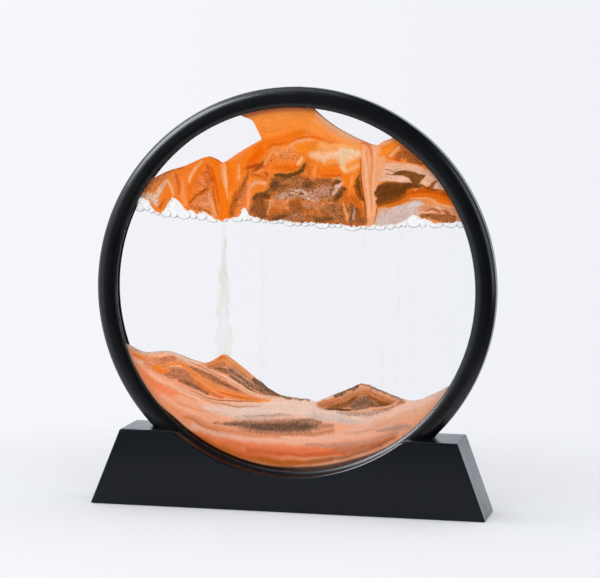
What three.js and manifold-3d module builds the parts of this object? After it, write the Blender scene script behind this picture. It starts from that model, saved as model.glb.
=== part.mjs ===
// Moving sand picture: a round glass cell with sand, liquid and air bubbles, held in a two-part
// frame that stands, and can be turned, in the groove of a hollow stand.
// Millimetres, +Z up, front towards -Y, origin on the table under the middle of the stand.
import * as THREE from 'three';
import { mergeVertices } from 'three/addons/utils/BufferGeometryUtils.js';
import Module from 'manifold-3d';

const wasm = await Module();
wasm.setup();

// Round frame: a bezel in front and a deep ring behind, joined by a tongue.
const FRAME_RADIUS = 90;
const FRAME_WALL = 3.2;
const RIM_ROUND = 4;
const LIP_WIDTH = 9.1;
const REAR_LIP_WIDTH = 8.2;
const LIP_THICKNESS = 2.05;
const LIP_ROUND_WIDTH = 3.6;
const BEZEL_DEPTH = 2.3;
const SEAM_CHAMFER = 0.3;
const RIM_SKIN = 0.9;
const TONGUE_LENGTH = 2.4;
const FRAME_SEGMENTS = 64;
const ROUND_STEPS = 4;

// Glass cell: two panes, a spacer ring and two sealing rings.
const PANE_THICKNESS = 2.45;
const SPACER_THICKNESS = 3;
const SPACER_WIDTH = 4.5;
const SEAL_THICKNESS = 0.45;
const SEAL_INSET = 0.4;

// Filler plug through the rim and the spacer, at the top of the frame.
const PLUG_HEAD_RADIUS = 1.4;
const PLUG_STEM_RADIUS = 0.9;
const PLUG_RECESS = 0.5;
const PLUG_CHAMFER = 0.25;

// Stand: a hollow moulding with a saddle, a groove, ribs and screw posts.
const STAND_END_INSET = 1;
const STAND_TOP_WIDTH = 152;
const STAND_HEIGHT = 34.2;
const STAND_DEPTH = 31.5;
const STAND_WALL = 2.5;
const STAND_EDGE_ROUND = 0.8;
const SADDLE_COVER = 7.9;
const SADDLE_CORNER = 3;
const FLOOR_ABOVE_PLATE = 2.05;
const RIB_THICKNESS = 2;
const RIB_PITCH = 18.5;
const RIBS_EACH_SIDE = 4;
const POST_RADIUS = 3.5;
const SADDLE_SEGMENTS = 14;

// Base plate, its screws and the foot pads over them.
const PLATE_THICKNESS = 3;
const SCREW_RADIUS = 1.1;
const SCREW_LENGTH = 10;
const SCREW_HEAD_RADIUS = 2.3;
const SCREW_HEAD_HEIGHT = 1;
const SCREW_SLOT_LENGTH = 2.8;
const SCREW_SLOT_WIDTH = 0.6;
const SCREW_SLOT_DEPTH = 0.5;
const PAD_RADIUS = 4.5;
const PAD_RECESS = 0.8;
const PAD_STAND_OFF = 0.25;
const PAD_SIDE_EDGE = 0.9;
const PAD_END_EDGE = 4.6;
const SMALL_SEGMENTS = 14;

// Clearances.
const SEAT_GAP = 0.05;
const PANE_CLEARANCE = 0.3;
const TONGUE_CLEARANCE = 0.15;
const PLUG_CLEARANCE = 0.2;
const GROOVE_CLEARANCE = 0.3;
const GROOVE_SIDE_CLEARANCE = 0.4;
const PLATE_CLEARANCE = 0.3;
const SCREW_CLEARANCE = 0.3;
const PAD_CLEARANCE = 0.3;
const CONTENT_CLEARANCE = 0.15;
const SAND_GAP = 0.3;

// Sand, in x and height from the middle of a cell of the drawn radius, some time after a turn.
const DRAWN_RADIUS = 82;
const FALLEN_SURFACE = [
  [-84, -24], [-77, -27.6], [-68.5, -31], [-57.5, -30.2], [-46.4, -33.6], [-39, -34.2], [-31.8, -30.4],
  [-24.4, -35.6], [-17, -41.2], [-9.6, -46.3], [-4, -48.3], [4, -49], [11, -49.8], [19.4, -46.2],
  [26.6, -43.2], [32, -41.4], [41, -44.6], [48.2, -47], [53, -48], [59, -46.5], [66, -43.1], [72, -39.5],
  [84, -32],
];
const LEFT_DUNE_FOOT = [
  [-70, -22], [-68.5, -31], [-65, -37.4], [-56.5, -42.4], [-40.4, -49], [-23.8, -51.4], [-11.5, -50.6],
  [-4, -48.3], [2, -40],
];
const RIGHT_DUNE_FOOT = [
  [7, -43], [11, -49.8], [16.7, -53.3], [28.8, -53.4], [37.8, -51.2], [46.8, -49.2], [53, -48], [57, -42],
];
const HANGING_UNDERSIDE = [
  [-84, 42], [-72, 38.8], [-65.8, 36], [-62, 33.8], [-56, 38], [-51, 35], [-43.7, 32.9], [-36.4, 31],
  [-29, 31.5], [-26, 32], [-22.3, 35.4], [-18.2, 31.9], [-14.6, 30.8], [0, 30.3], [14, 30.2], [25, 29.6],
  [36, 30], [42.6, 30.6], [47.5, 32], [52, 35], [56.5, 34], [61, 33], [67, 32], [73, 33], [84, 34],
];
const HANGING_TOP_LEFT = [
  [-34, 81], [-25.7, 76.6], [-21, 74.8], [-18.8, 71.5], [-16.2, 66.4],
];
const HANGING_SLOPE_LEFT = [
  [-16.2, 66.4], [-26, 60.6], [-33.5, 55.6], [-36.8, 56.8], [-40.5, 58], [-44.1, 56.9], [-51.4, 53.6],
  [-58.7, 51.2], [-66, 47.6], [-73, 45.6], [-84, 46],
];
const HANGING_SLOPE_RIGHT = [
  [52, 73], [42.2, 68.4], [38.6, 67], [34.5, 65], [27.9, 67.2], [20.7, 70.5], [13.5, 74.8], [6.2, 80.8],
  [1, 86],
];
const LEFT_NECK_EDGES = [
  [[-70, 90], [-39, 60], [-37.5, 45], [-35.8, 31], [-35, 20]],
  [[-45, 90], [-24, 62.2], [-26.5, 45], [-30.4, 31], [-31.5, 20]],
];
const RIGHT_NECK_EDGES = [
  [[27, 90], [28.7, 50], [31.3, 30], [32, 20]],
  [[43.5, 90], [37.5, 50], [35.6, 30], [35, 20]],
];
const BUBBLE_LINE = [
  [-84, 37.5], [-71, 34.2], [-65.8, 32.3], [-61, 31.2], [-51, 29.9], [-37, 28.5], [-16, 27.8], [2, 27.1],
  [25, 26.9], [43, 28.2], [57, 29], [73, 30.2], [84, 31],
];
const BUBBLE_WIDTH = 4.2;
const BUBBLE_WIDTH_CHANGE = 1.3;
const BUBBLE_CHANGE_STEP = 2.4;
const BUBBLE_SAG = 0.8;
const BUBBLE_STEPS = 3;
const STREAM_TOP = [-33, 27];
const STREAM_BOTTOM = [-32, -29.4];
const STREAM_TOP_RADIUS = 0.7;
const STREAM_BOTTOM_RADIUS = 1.1;
const LINE_STEPS = 2;

// Places that follow from the sizes above, measured from the frame's middle plane or axis.
const channelRadius = FRAME_RADIUS - FRAME_WALL;
const paneRadius = channelRadius - PANE_CLEARANCE;
const cellRadius = paneRadius - SPACER_WIDTH;
const spacerHalf = SPACER_THICKNESS / 2;
const sealInner = spacerHalf + SEAT_GAP;
const sealOuter = sealInner + SEAL_THICKNESS;
const paneInner = sealOuter + SEAT_GAP;
const paneOuter = paneInner + PANE_THICKNESS;
const lipInner = paneOuter + SEAT_GAP;
const frameHalf = lipInner + LIP_THICKNESS;
const seamDepth = frameHalf - BEZEL_DEPTH;
const contentRadius = cellRadius - CONTENT_CLEARANCE;
const contentHalf = paneInner - CONTENT_CLEARANCE;
const beyond = 2 * FRAME_RADIUS;
const plateTop = PAD_STAND_OFF + PLATE_THICKNESS;
const padTop = PAD_STAND_OFF + PAD_RECESS;
const grooveFloorHeight = plateTop + FLOOR_ABOVE_PLATE + STAND_WALL;
const frameCentreHeight = grooveFloorHeight + GROOVE_CLEARANCE + FRAME_RADIUS;

// Finishes.
const finish = (colour, roughness, opacity = 1, metalness = 0) => new THREE.MeshStandardMaterial({
  color: colour, roughness, metalness, opacity, transparent: opacity < 1,
});
const blackPlastic = finish(0x16181b, 0.38);
const darkSpacer = finish(0x101113, 0.5);
const clearGlass = finish(0xeef4f6, 0.03, 0.15);
const sealRubber = finish(0x2a2c2e, 0.7);
const padRubber = finish(0x1b1b1c, 0.85);
const screwSteel = finish(0xa9adb2, 0.35, 1, 1);
const orangeSand = finish(0xe8792e, 0.9);
const paleSand = finish(0xe9a583, 0.9);
const brownSand = finish(0x9a5a30, 0.9);
const clearLiquid = finish(0xf2f7fa, 0.05, 0.1);
const airBubbles = finish(0xffffff, 0.05, 0.35);
const hazySand = finish(0xe6d9c8, 0.9, 0.5);

const model = new THREE.Group();
const frame = new THREE.Group();
frame.position.z = frameCentreHeight;
model.add(frame);

// Names a piece, gives it its finish and puts it in its group.
function add(group, name, shape, material) {
  const geometry = shape instanceof wasm.Manifold ? geometryOf(shape) : shape;
  const mesh = new THREE.Mesh(geometry, material);
  mesh.name = name;
  group.add(mesh);
}

// A closed solid of a geometry, for joining and cutting.
function solidOf(geometry) {
  const bare = geometry.clone();
  bare.deleteAttribute('normal');
  bare.deleteAttribute('uv');
  const merged = mergeVertices(bare);
  const index = merged.index.array;
  const triangles = [];
  for (let i = 0; i < index.length; i += 3) {
    const [a, b, c] = [index[i], index[i + 1], index[i + 2]];
    if (a !== b && b !== c && c !== a) {
      triangles.push(a, b, c);
    }
  }
  return new wasm.Manifold(new wasm.Mesh({
    numProp: 3,
    vertProperties: new Float32Array(merged.attributes.position.array),
    triVerts: new Uint32Array(triangles),
  }));
}

function geometryOf(solid) {
  const mesh = solid.getMesh();
  const geometry = new THREE.BufferGeometry();
  geometry.setAttribute('position', new THREE.BufferAttribute(mesh.vertProperties, 3));
  geometry.setIndex(new THREE.BufferAttribute(mesh.triVerts, 1));
  geometry.computeVertexNormals();
  return geometry;
}

// An outline in x and height, as thick as twice half, centred on the middle plane.
function slab(outline, half) {
  const geometry = new THREE.ExtrudeGeometry(new THREE.Shape(outline), {
    depth: 2 * half, bevelEnabled: false,
  });
  return geometry.rotateX(Math.PI / 2).translate(0, half, 0);
}

function disc(radius, half) {
  return new THREE.CylinderGeometry(radius, radius, 2 * half, FRAME_SEGMENTS);
}

// A disc whose flats, and not its corners, lie at the radius, so a round piece turns inside it.
function discAround(radius, half) {
  return disc(radius / Math.cos(Math.PI / FRAME_SEGMENTS), half);
}

// A ring about the frame's axis from a closed section of radius and depth in front of the middle plane.
function ring(section) {
  const points = section.map(([radius, depth]) => new THREE.Vector2(radius, -depth));
  if (THREE.ShapeUtils.area(points) < 0) {
    points.reverse();
  }
  return new THREE.LatheGeometry([...points, points[0]], FRAME_SEGMENTS);
}

// A turned piece on a vertical axis, from radius and height pairs that start and end on the axis.
function turned(section, segments) {
  const points = section.map(([radius, height]) => new THREE.Vector2(radius, height));
  return new THREE.LatheGeometry(points, segments).rotateX(Math.PI / 2);
}

function upright(radius, bottom, top) {
  return turned([[0, bottom], [radius, bottom], [radius, top], [0, top]], SMALL_SEGMENTS);
}

function box(x, y, bottom, top, width, depth) {
  return new THREE.BoxGeometry(width, depth, top - bottom).translate(x, y, (bottom + top) / 2);
}

// The points of a rounding, in even steps from one angle to another.
function arc(from, to, point) {
  const steps = [];
  for (let i = 0; i <= ROUND_STEPS; i += 1) {
    steps.push(point(from + ((to - from) * i) / ROUND_STEPS));
  }
  return steps;
}

const quarter = Math.PI / 2;

// Rounded rim section at an angle from the rim to the front, and the angle at a depth.
const rimRound = Math.min(RIM_ROUND, frameHalf);
const rimFlat = frameHalf - rimRound;
function rimPoint(angle) {
  return [FRAME_RADIUS - rimRound + rimRound * Math.cos(angle), rimFlat + rimRound * Math.sin(angle)];
}

function rimAngle(depth) {
  return Math.asin(THREE.MathUtils.clamp((depth - rimFlat) / rimRound, 0, 1));
}

// Rounded section of a lip of some width, from the crest of the frame to its edge on the glass.
function lipArc(width) {
  const round = Math.min(LIP_ROUND_WIDTH, width - rimRound);
  return arc(0, quarter, (angle) => [
    FRAME_RADIUS - width + round - round * Math.sin(angle),
    lipInner + LIP_THICKNESS * Math.cos(angle),
  ]);
}

// Frame rings
const tongueBottom = seamDepth - TONGUE_LENGTH;
const seamEdge = rimPoint(rimAngle(seamDepth))[0] - SEAM_CHAMFER;
const tongueRadius = seamEdge - RIM_SKIN - TONGUE_CLEARANCE;
const bezel = ring([
  [seamEdge, seamDepth + SEAT_GAP],
  ...arc(rimAngle(seamDepth + SEAM_CHAMFER), quarter, rimPoint),
  ...lipArc(LIP_WIDTH),
  [channelRadius, lipInner],
  [channelRadius, tongueBottom],
  [tongueRadius, tongueBottom],
  [tongueRadius, seamDepth + SEAT_GAP],
]);
const behind = ([radius, depth]) => [radius, -depth];
const deepRing = ring([
  [seamEdge, seamDepth],
  ...arc(rimAngle(seamDepth - SEAM_CHAMFER), 0, rimPoint),
  ...arc(0, quarter, rimPoint).map(behind),
  ...lipArc(REAR_LIP_WIDTH).map(behind),
  [channelRadius, -lipInner],
  [channelRadius, tongueBottom - TONGUE_CLEARANCE],
  [tongueRadius + TONGUE_CLEARANCE, tongueBottom - TONGUE_CLEARANCE],
  [tongueRadius + TONGUE_CLEARANCE, seamDepth],
]);
const plugTop = FRAME_RADIUS - PLUG_RECESS;
const rimHole = solidOf(upright(PLUG_HEAD_RADIUS + PLUG_CLEARANCE, cellRadius, beyond));
const spacerHole = solidOf(upright(PLUG_STEM_RADIUS + PLUG_CLEARANCE, 0, FRAME_RADIUS));
add(frame, 'front_frame_ring', solidOf(bezel).subtract(rimHole), blackPlastic);
add(frame, 'rear_frame_ring', solidOf(deepRing).subtract(rimHole), blackPlastic);

// Glass cell
const paneHalf = PANE_THICKNESS / 2;
const paneMiddle = paneInner + paneHalf;
add(frame, 'front_glass', disc(paneRadius, paneHalf).translate(0, -paneMiddle, 0), clearGlass);
add(frame, 'rear_glass', disc(paneRadius, paneHalf).translate(0, paneMiddle, 0), clearGlass);
const spacer = ring([
  [cellRadius, -spacerHalf], [paneRadius, -spacerHalf], [paneRadius, spacerHalf], [cellRadius, spacerHalf],
]);
add(frame, 'spacer_ring', solidOf(spacer).subtract(spacerHole), darkSpacer);
const sealSection = [
  [cellRadius + SEAL_INSET, sealInner], [paneRadius - SEAL_INSET, sealInner],
  [paneRadius - SEAL_INSET, sealOuter], [cellRadius + SEAL_INSET, sealOuter],
];
add(frame, 'front_seal', ring(sealSection), sealRubber);
add(frame, 'rear_seal', ring(sealSection.map(behind)), sealRubber);
add(frame, 'filler_plug', turned([
  [0, cellRadius + PLUG_CLEARANCE], [PLUG_STEM_RADIUS, cellRadius + PLUG_CLEARANCE],
  [PLUG_STEM_RADIUS, channelRadius], [PLUG_HEAD_RADIUS, channelRadius],
  [PLUG_HEAD_RADIUS, plugTop - PLUG_CHAMFER], [PLUG_HEAD_RADIUS - PLUG_CHAMFER, plugTop], [0, plugTop],
], SMALL_SEGMENTS), padRubber);

// Sand, bubbles and liquid fill the cell side by side, each as thick as the space between the panes.
const drawn = cellRadius / DRAWN_RADIUS;
const corner = (x, height) => new THREE.Vector2(x, height);
const pairs = (points) => points.map(([x, height]) => corner(drawn * x, drawn * height));
const smooth = (points) => new THREE.SplineCurve(pairs(points)).getPoints(LINE_STEPS * (points.length - 1));
const across = (line) => [corner(-beyond, line[0].y), ...line, corner(beyond, line.at(-1).y)];
const moved = (line, x, height) => line.map((p) => corner(p.x + x, p.y + height));
const content = (outline) => solidOf(slab(outline, contentHalf));
const cell = solidOf(disc(contentRadius, contentHalf));
const above = (line) => content([...line, corner(line.at(-1).x, beyond), corner(line[0].x, beyond)]);
const below = (line) => content([...line, corner(line.at(-1).x, -beyond), corner(line[0].x, -beyond)]);

// A solid with the gap that parts neighbours added all round.
function grown(solid) {
  const shifts = [[SAND_GAP, 0], [-SAND_GAP, 0], [0, SAND_GAP], [0, -SAND_GAP]];
  return shifts.reduce((whole, [x, height]) => whole.add(solid.translate([x, 0, height])), solid);
}

// Fallen sand: a bed with two dunes set on it.
const fallenSand = cell.intersect(below(across(smooth(FALLEN_SURFACE))));
const leftDune = above(smooth(LEFT_DUNE_FOOT));
const rightDune = above(smooth(RIGHT_DUNE_FOOT));
add(frame, 'lower_sand_bed', fallenSand.subtract(grown(leftDune)).subtract(grown(rightDune)), paleSand);
add(frame, 'left_dune', fallenSand.intersect(leftDune), brownSand);
add(frame, 'right_dune', fallenSand.intersect(rightDune), brownSand);

// Hanging sand: three banks between two necks through which the grains run down.
const underside = across(smooth(HANGING_UNDERSIDE));
const slopeRight = smooth(HANGING_SLOPE_RIGHT);
const slopeLeft = smooth(HANGING_SLOPE_LEFT);
const topLeft = smooth(HANGING_TOP_LEFT);
const hangingSand = cell.intersect(content([
  ...underside,
  corner(beyond, beyond),
  ...slopeRight,
  corner(slopeRight.at(-1).x, beyond),
  corner(topLeft[0].x, beyond),
  ...topLeft,
  ...slopeLeft.slice(1),
  corner(-beyond, slopeLeft.at(-1).y),
]));

// The stretch of the cell between two edges, each with half of the gap that parts neighbours.
function stretch(leftEdge, rightEdge) {
  const left = moved(leftEdge, SAND_GAP / 2, 0);
  const right = moved(rightEdge, -SAND_GAP / 2, 0).reverse();
  return content([corner(left[0].x, beyond), ...left, ...right, corner(right.at(-1).x, beyond)]);
}
const leftWall = [corner(-beyond, beyond), corner(-beyond, 0)];
const rightWall = [corner(beyond, beyond), corner(beyond, 0)];
const [leftNeckLeft, leftNeckRight] = LEFT_NECK_EDGES.map(pairs);
const [rightNeckLeft, rightNeckRight] = RIGHT_NECK_EDGES.map(pairs);
add(frame, 'upper_sand_left', hangingSand.intersect(stretch(leftWall, leftNeckLeft)), orangeSand);
add(frame, 'left_sand_funnel', hangingSand.intersect(stretch(leftNeckLeft, leftNeckRight)), paleSand);
add(frame, 'upper_sand_middle', hangingSand.intersect(stretch(leftNeckRight, rightNeckLeft)), orangeSand);
add(frame, 'right_sand_funnel', hangingSand.intersect(stretch(rightNeckLeft, rightNeckRight)), paleSand);
add(frame, 'upper_sand_right', hangingSand.intersect(stretch(rightNeckRight, rightWall)), orangeSand);

// Bubbles: a row of unequal scallops under the hanging sand.
const bubbleLine = across(smooth(BUBBLE_LINE));
function heightOn(line, x) {
  const next = line.findIndex((p) => p.x >= x);
  const [a, b] = [line[next - 1], line[next]];
  return a.y + ((b.y - a.y) * (x - a.x)) / (b.x - a.x);
}
function scallops(line, from, to) {
  const points = [];
  for (let x = from, count = 0; x < to; count += 1) {
    const width = BUBBLE_WIDTH + BUBBLE_WIDTH_CHANGE * Math.sin(BUBBLE_CHANGE_STEP * count);
    for (let i = 0; i < BUBBLE_STEPS; i += 1) {
      const share = i / BUBBLE_STEPS;
      const rise = BUBBLE_SAG * (1 - Math.sin(Math.PI * share));
      points.push(corner(x + width * share, heightOn(line, x + width * share) + rise));
    }
    x += width;
  }
  return points;
}
const bubbleEnd = cellRadius + BUBBLE_WIDTH;
const bubbles = cell.intersect(above(scallops(bubbleLine, -bubbleEnd, bubbleEnd)))
  .intersect(below(moved(underside, 0, -SAND_GAP)));
add(frame, 'bubble_layer', bubbles, airBubbles);

// Falling stream: grains on their way from the left neck to the peak of the left dune.
const [streamTop, streamBottom] = pairs([STREAM_TOP, STREAM_BOTTOM]);
const streamLength = streamTop.y - streamBottom.y;
function stream(gap, overrun) {
  const lean = Math.atan2(streamTop.x - streamBottom.x, streamLength);
  return turned([
    [0, -overrun],
    [STREAM_BOTTOM_RADIUS + gap, -overrun],
    [STREAM_TOP_RADIUS + gap, streamLength + overrun],
    [0, streamLength + overrun],
  ], SMALL_SEGMENTS).rotateY(lean).translate(streamBottom.x, 0, streamBottom.y);
}
add(frame, 'falling_sand', stream(0, 0), hazySand);

// Clear liquid in the three parts of the cell with no sand.
const clearSpace = cell.subtract(grown(fallenSand)).subtract(grown(hangingSand)).subtract(grown(bubbles))
  .subtract(solidOf(stream(SAND_GAP, BUBBLE_WIDTH)));
const overSand = (left, right) => content([
  corner(left, 0), corner(right, 0), corner(right, beyond), corner(left, beyond),
]).subtract(below(underside));
const notch = topLeft.at(-1).x;
add(frame, 'liquid_middle', clearSpace.intersect(below(bubbleLine)), clearLiquid);
add(frame, 'liquid_top_left', clearSpace.intersect(overSand(-beyond, notch)), clearLiquid);
add(frame, 'liquid_top_right', clearSpace.intersect(overSand(notch, beyond)), clearLiquid);

// Stand shell, with its ends just inside the frame's outline
const standEnd = FRAME_RADIUS - STAND_END_INSET;
const saddleRadius = FRAME_RADIUS - SADDLE_COVER;
const shoulderDrop = frameCentreHeight - STAND_HEIGHT;
const saddleX = Math.sqrt(saddleRadius ** 2 - shoulderDrop ** 2);
const saddleAngle = Math.atan2(-shoulderDrop, saddleX);
const cornerAngle = saddleAngle - SADDLE_CORNER / saddleRadius;
const cornerEnd = [
  saddleRadius * Math.cos(cornerAngle), frameCentreHeight + saddleRadius * Math.sin(cornerAngle),
];

function standOutline() {
  const outline = new THREE.Shape();
  outline.moveTo(-standEnd, PAD_STAND_OFF);
  outline.lineTo(standEnd, PAD_STAND_OFF);
  outline.lineTo(STAND_TOP_WIDTH / 2, STAND_HEIGHT);
  outline.lineTo(saddleX + SADDLE_CORNER, STAND_HEIGHT);
  outline.quadraticCurveTo(saddleX, STAND_HEIGHT, ...cornerEnd);
  outline.absarc(0, frameCentreHeight, saddleRadius, cornerAngle, -Math.PI - cornerAngle, true);
  outline.quadraticCurveTo(-saddleX, STAND_HEIGHT, -saddleX - SADDLE_CORNER, STAND_HEIGHT);
  outline.lineTo(-STAND_TOP_WIDTH / 2, STAND_HEIGHT);
  return outline;
}
const standBlock = new THREE.ExtrudeGeometry(standOutline(), {
  depth: STAND_DEPTH - 2 * STAND_EDGE_ROUND,
  curveSegments: SADDLE_SEGMENTS,
  bevelThickness: STAND_EDGE_ROUND,
  bevelSize: STAND_EDGE_ROUND,
  bevelOffset: -STAND_EDGE_ROUND,
  bevelSegments: 2,
}).rotateX(Math.PI / 2).translate(0, STAND_DEPTH / 2 - STAND_EDGE_ROUND, 0);

// Inside of the slanted ends, a wall's thickness in, with a further inset for what fits between them.
const slant = (standEnd - STAND_TOP_WIDTH / 2) / (STAND_HEIGHT - PAD_STAND_OFF);
const endWall = STAND_WALL * Math.hypot(1, slant);
const insideX = (height, inset) => standEnd - endWall - slant * (height - PAD_STAND_OFF) - inset;
const insideHalf = STAND_DEPTH / 2 - STAND_WALL;
function between(bottom, top, inset) {
  return slab([
    corner(-insideX(bottom, inset), bottom), corner(insideX(bottom, inset), bottom),
    corner(insideX(top, inset), top), corner(-insideX(top, inset), top),
  ], insideHalf - inset);
}

const grooveRadius = FRAME_RADIUS + GROOVE_CLEARANCE;
const grooveHalf = frameHalf + GROOVE_SIDE_CLEARANCE;
const atFrame = (geometry) => solidOf(geometry.translate(0, 0, frameCentreHeight));
const groove = atFrame(discAround(grooveRadius, grooveHalf));
const grooveSkin = atFrame(discAround(grooveRadius + STAND_WALL, grooveHalf + STAND_WALL));
const saddleSkin = atFrame(discAround(saddleRadius + STAND_WALL, STAND_DEPTH));
const padRoom = PLATE_CLEARANCE + PAD_CLEARANCE + PAD_RADIUS;
const postX = insideX(plateTop, padRoom + PAD_END_EDGE);
const postY = insideHalf - padRoom - PAD_SIDE_EDGE;
const posts = [['front_left', -1, -1], ['front_right', 1, -1], ['rear_left', -1, 1], ['rear_right', 1, 1]]
  .map(([place, sideX, sideY]) => ({ place, x: sideX * postX, y: sideY * postY }));

let hollow = solidOf(between(PAD_STAND_OFF - STAND_WALL, STAND_HEIGHT - STAND_WALL, 0))
  .subtract(grooveSkin).subtract(saddleSkin);
const ribBottom = plateTop + SEAT_GAP;
for (let i = 0; i < RIBS_EACH_SIDE; i += 1) {
  for (const side of [-1, 1]) {
    const x = side * RIB_PITCH * (i + 0.5);
    hollow = hollow.subtract(solidOf(box(x, 0, ribBottom, STAND_HEIGHT, RIB_THICKNESS, STAND_DEPTH)));
  }
}
for (const { x, y } of posts) {
  hollow = hollow.subtract(solidOf(upright(POST_RADIUS, ribBottom, STAND_HEIGHT).translate(x, y, 0)));
}
let shell = solidOf(standBlock).subtract(groove).subtract(hollow);
const holeTop = plateTop + SCREW_LENGTH;
for (const { x, y } of posts) {
  const hole = upright(SCREW_RADIUS + SCREW_CLEARANCE, 0, holeTop).translate(x, y, 0);
  shell = shell.subtract(solidOf(hole));
}
add(model, 'stand_shell', shell, blackPlastic);

// Base plate with its screws and foot pads
const headBottom = padTop + SEAT_GAP;
const headTop = headBottom + SCREW_HEAD_HEIGHT;
const screwTop = headTop + SCREW_LENGTH - SCREW_HEAD_HEIGHT;
let plate = solidOf(between(PAD_STAND_OFF, plateTop, PLATE_CLEARANCE));
for (const { x, y } of posts) {
  const cuts = [
    upright(PAD_RADIUS + PAD_CLEARANCE, 0, padTop),
    upright(SCREW_HEAD_RADIUS + SCREW_CLEARANCE, 0, headTop + SEAT_GAP),
    upright(SCREW_RADIUS + SCREW_CLEARANCE, 0, holeTop),
  ];
  for (const cut of cuts) {
    plate = plate.subtract(solidOf(cut.translate(x, y, 0)));
  }
}
add(model, 'stand_base_plate', plate, blackPlastic);
const screw = solidOf(turned([
  [0, headBottom], [SCREW_HEAD_RADIUS, headBottom], [SCREW_HEAD_RADIUS, headTop], [SCREW_RADIUS, headTop],
  [SCREW_RADIUS, screwTop - SCREW_RADIUS], [0, screwTop],
], SMALL_SEGMENTS));
const slotTop = headBottom + SCREW_SLOT_DEPTH;
const crossSlot = solidOf(box(0, 0, 0, slotTop, SCREW_SLOT_LENGTH, SCREW_SLOT_WIDTH))
  .add(solidOf(box(0, 0, 0, slotTop, SCREW_SLOT_WIDTH, SCREW_SLOT_LENGTH)));
for (const { place, x, y } of posts) {
  add(model, `base_screw_${place}`, screw.subtract(crossSlot).translate([x, y, 0]), screwSteel);
  add(model, `foot_pad_${place}`, upright(PAD_RADIUS, 0, padTop).translate(x, y, 0), padRubber);
}

export default model;
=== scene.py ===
import math
import random

import bpy
import numpy as np
from mathutils import Matrix, Vector
from mathutils.geometry import delaunay_2d_cdt


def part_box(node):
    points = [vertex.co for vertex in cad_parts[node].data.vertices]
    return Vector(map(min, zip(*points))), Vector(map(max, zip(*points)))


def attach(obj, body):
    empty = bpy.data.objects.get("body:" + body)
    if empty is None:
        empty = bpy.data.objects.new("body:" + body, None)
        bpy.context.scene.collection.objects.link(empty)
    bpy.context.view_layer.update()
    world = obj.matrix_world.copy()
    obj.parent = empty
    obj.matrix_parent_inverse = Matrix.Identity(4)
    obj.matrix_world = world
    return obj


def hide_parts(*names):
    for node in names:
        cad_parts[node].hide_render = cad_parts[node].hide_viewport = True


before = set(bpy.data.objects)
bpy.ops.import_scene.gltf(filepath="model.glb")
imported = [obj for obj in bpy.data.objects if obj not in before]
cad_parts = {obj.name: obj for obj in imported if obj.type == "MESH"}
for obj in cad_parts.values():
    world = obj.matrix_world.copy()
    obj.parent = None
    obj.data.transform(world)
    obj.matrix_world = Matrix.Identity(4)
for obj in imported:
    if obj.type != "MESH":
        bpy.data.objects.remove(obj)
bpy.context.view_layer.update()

# Stand: one hollow moulding of satin black plastic, open underneath, wide at the foot and narrower at the shoulders.
# A round saddle lies across its top, with a groove along the middle in which the frame stands.
# The frame has rubbed the saddle dull; its edges, rounded by the mould as all long edges are, stay polished.
frame_radius = 0.090
frame_height = 0.0981
stand_foot = 0.00025
stand_top = 0.0342
stand_foot_half = 0.0890
stand_top_half = 0.0760
stand_depth_half = 0.01575
stand_wall = 0.0025
stand_edge_round = 0.0008
stand_corner_round = 0.0010
saddle_radius = 0.0821
saddle_corner = 0.003
groove_radius = 0.0903
groove_half = 0.0070
plate_top = 0.00325


def to_linear(screen):
    """Screen values from 0 to 1 in the linear values that shaders take."""
    return np.where(screen > 0.04045, ((screen + 0.055) / 1.055) ** 2.4, screen / 12.92)


def linear(red, green, blue):
    """A colour with values to 255, as a screen shows it, for a shader."""
    return (*to_linear(np.array([red, green, blue], float) / 255).tolist(), 1.0)


def smooth_faces(mesh, sharp_angle=35):
    """Smooths a mesh, and keeps its edges sharp above an angle."""
    mesh.shade_smooth()
    mesh.set_sharp_from_angle(angle=math.radians(sharp_angle))


def new_piece(name, points, faces, sharp_angle=35):
    """A mesh object with smooth faces, and edges that stay sharp above an angle."""
    mesh = bpy.data.meshes.new(name)
    mesh.from_pydata([tuple(map(float, p)) for p in points], [], [tuple(map(int, f)) for f in faces])
    mesh.validate()
    smooth_faces(mesh, sharp_angle)
    piece = bpy.data.objects.new(name, mesh)
    bpy.context.scene.collection.objects.link(piece)
    return piece


def inset_outline(outline, distance):
    """A closed outline moved inwards, with its corners kept at their angles."""
    points = np.array(outline)
    ahead = np.roll(points, -1, 0) - points
    ahead /= np.linalg.norm(ahead, axis=1)[:, None]
    inward = np.stack([-ahead[:, 1], ahead[:, 0]], 1)
    before = np.roll(inward, 1, 0)
    corner = (inward + before) / (1 + (inward * before).sum(1))[:, None]
    return points + corner * distance


def tube_faces(loops, count, order=(0, 1, 2, 3), joined=False):
    """Faces between each closed loop of points and the next, and from the last to the first where they are joined.
    The order is that of the corners: here, here and next, there and next, there."""
    faces = []
    for loop in range(loops if joined else loops - 1):
        here, there = loop * count, (loop + 1) % loops * count
        for i in range(count):
            j = (i + 1) % count
            corners = (here + i, here + j, there + j, there + i)
            faces.append(tuple(corners[k] for k in order))
    return faces


def rounded_block(name, outline, half, edge_round, steps=4):
    """An outline in x and height, made a block along the depth with rounded edges front and rear."""
    loops = []
    for side in (-1, 1):
        for i in range(steps + 1):
            turn = math.pi / 2 * (i / steps if side < 0 else 1 - i / steps)
            loop = inset_outline(outline, edge_round * (1 - math.sin(turn)))
            depth = side * (half - edge_round * (1 - math.cos(turn)))
            loops.append([(x, depth, z) for x, z in loop])
    count = len(outline)
    ends = [tuple(range(count)), tuple(range((len(loops) - 1) * count, len(loops) * count))[::-1]]
    return new_piece(name, [p for loop in loops for p in loop], ends + tube_faces(len(loops), count, (1, 0, 3, 2)))


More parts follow.
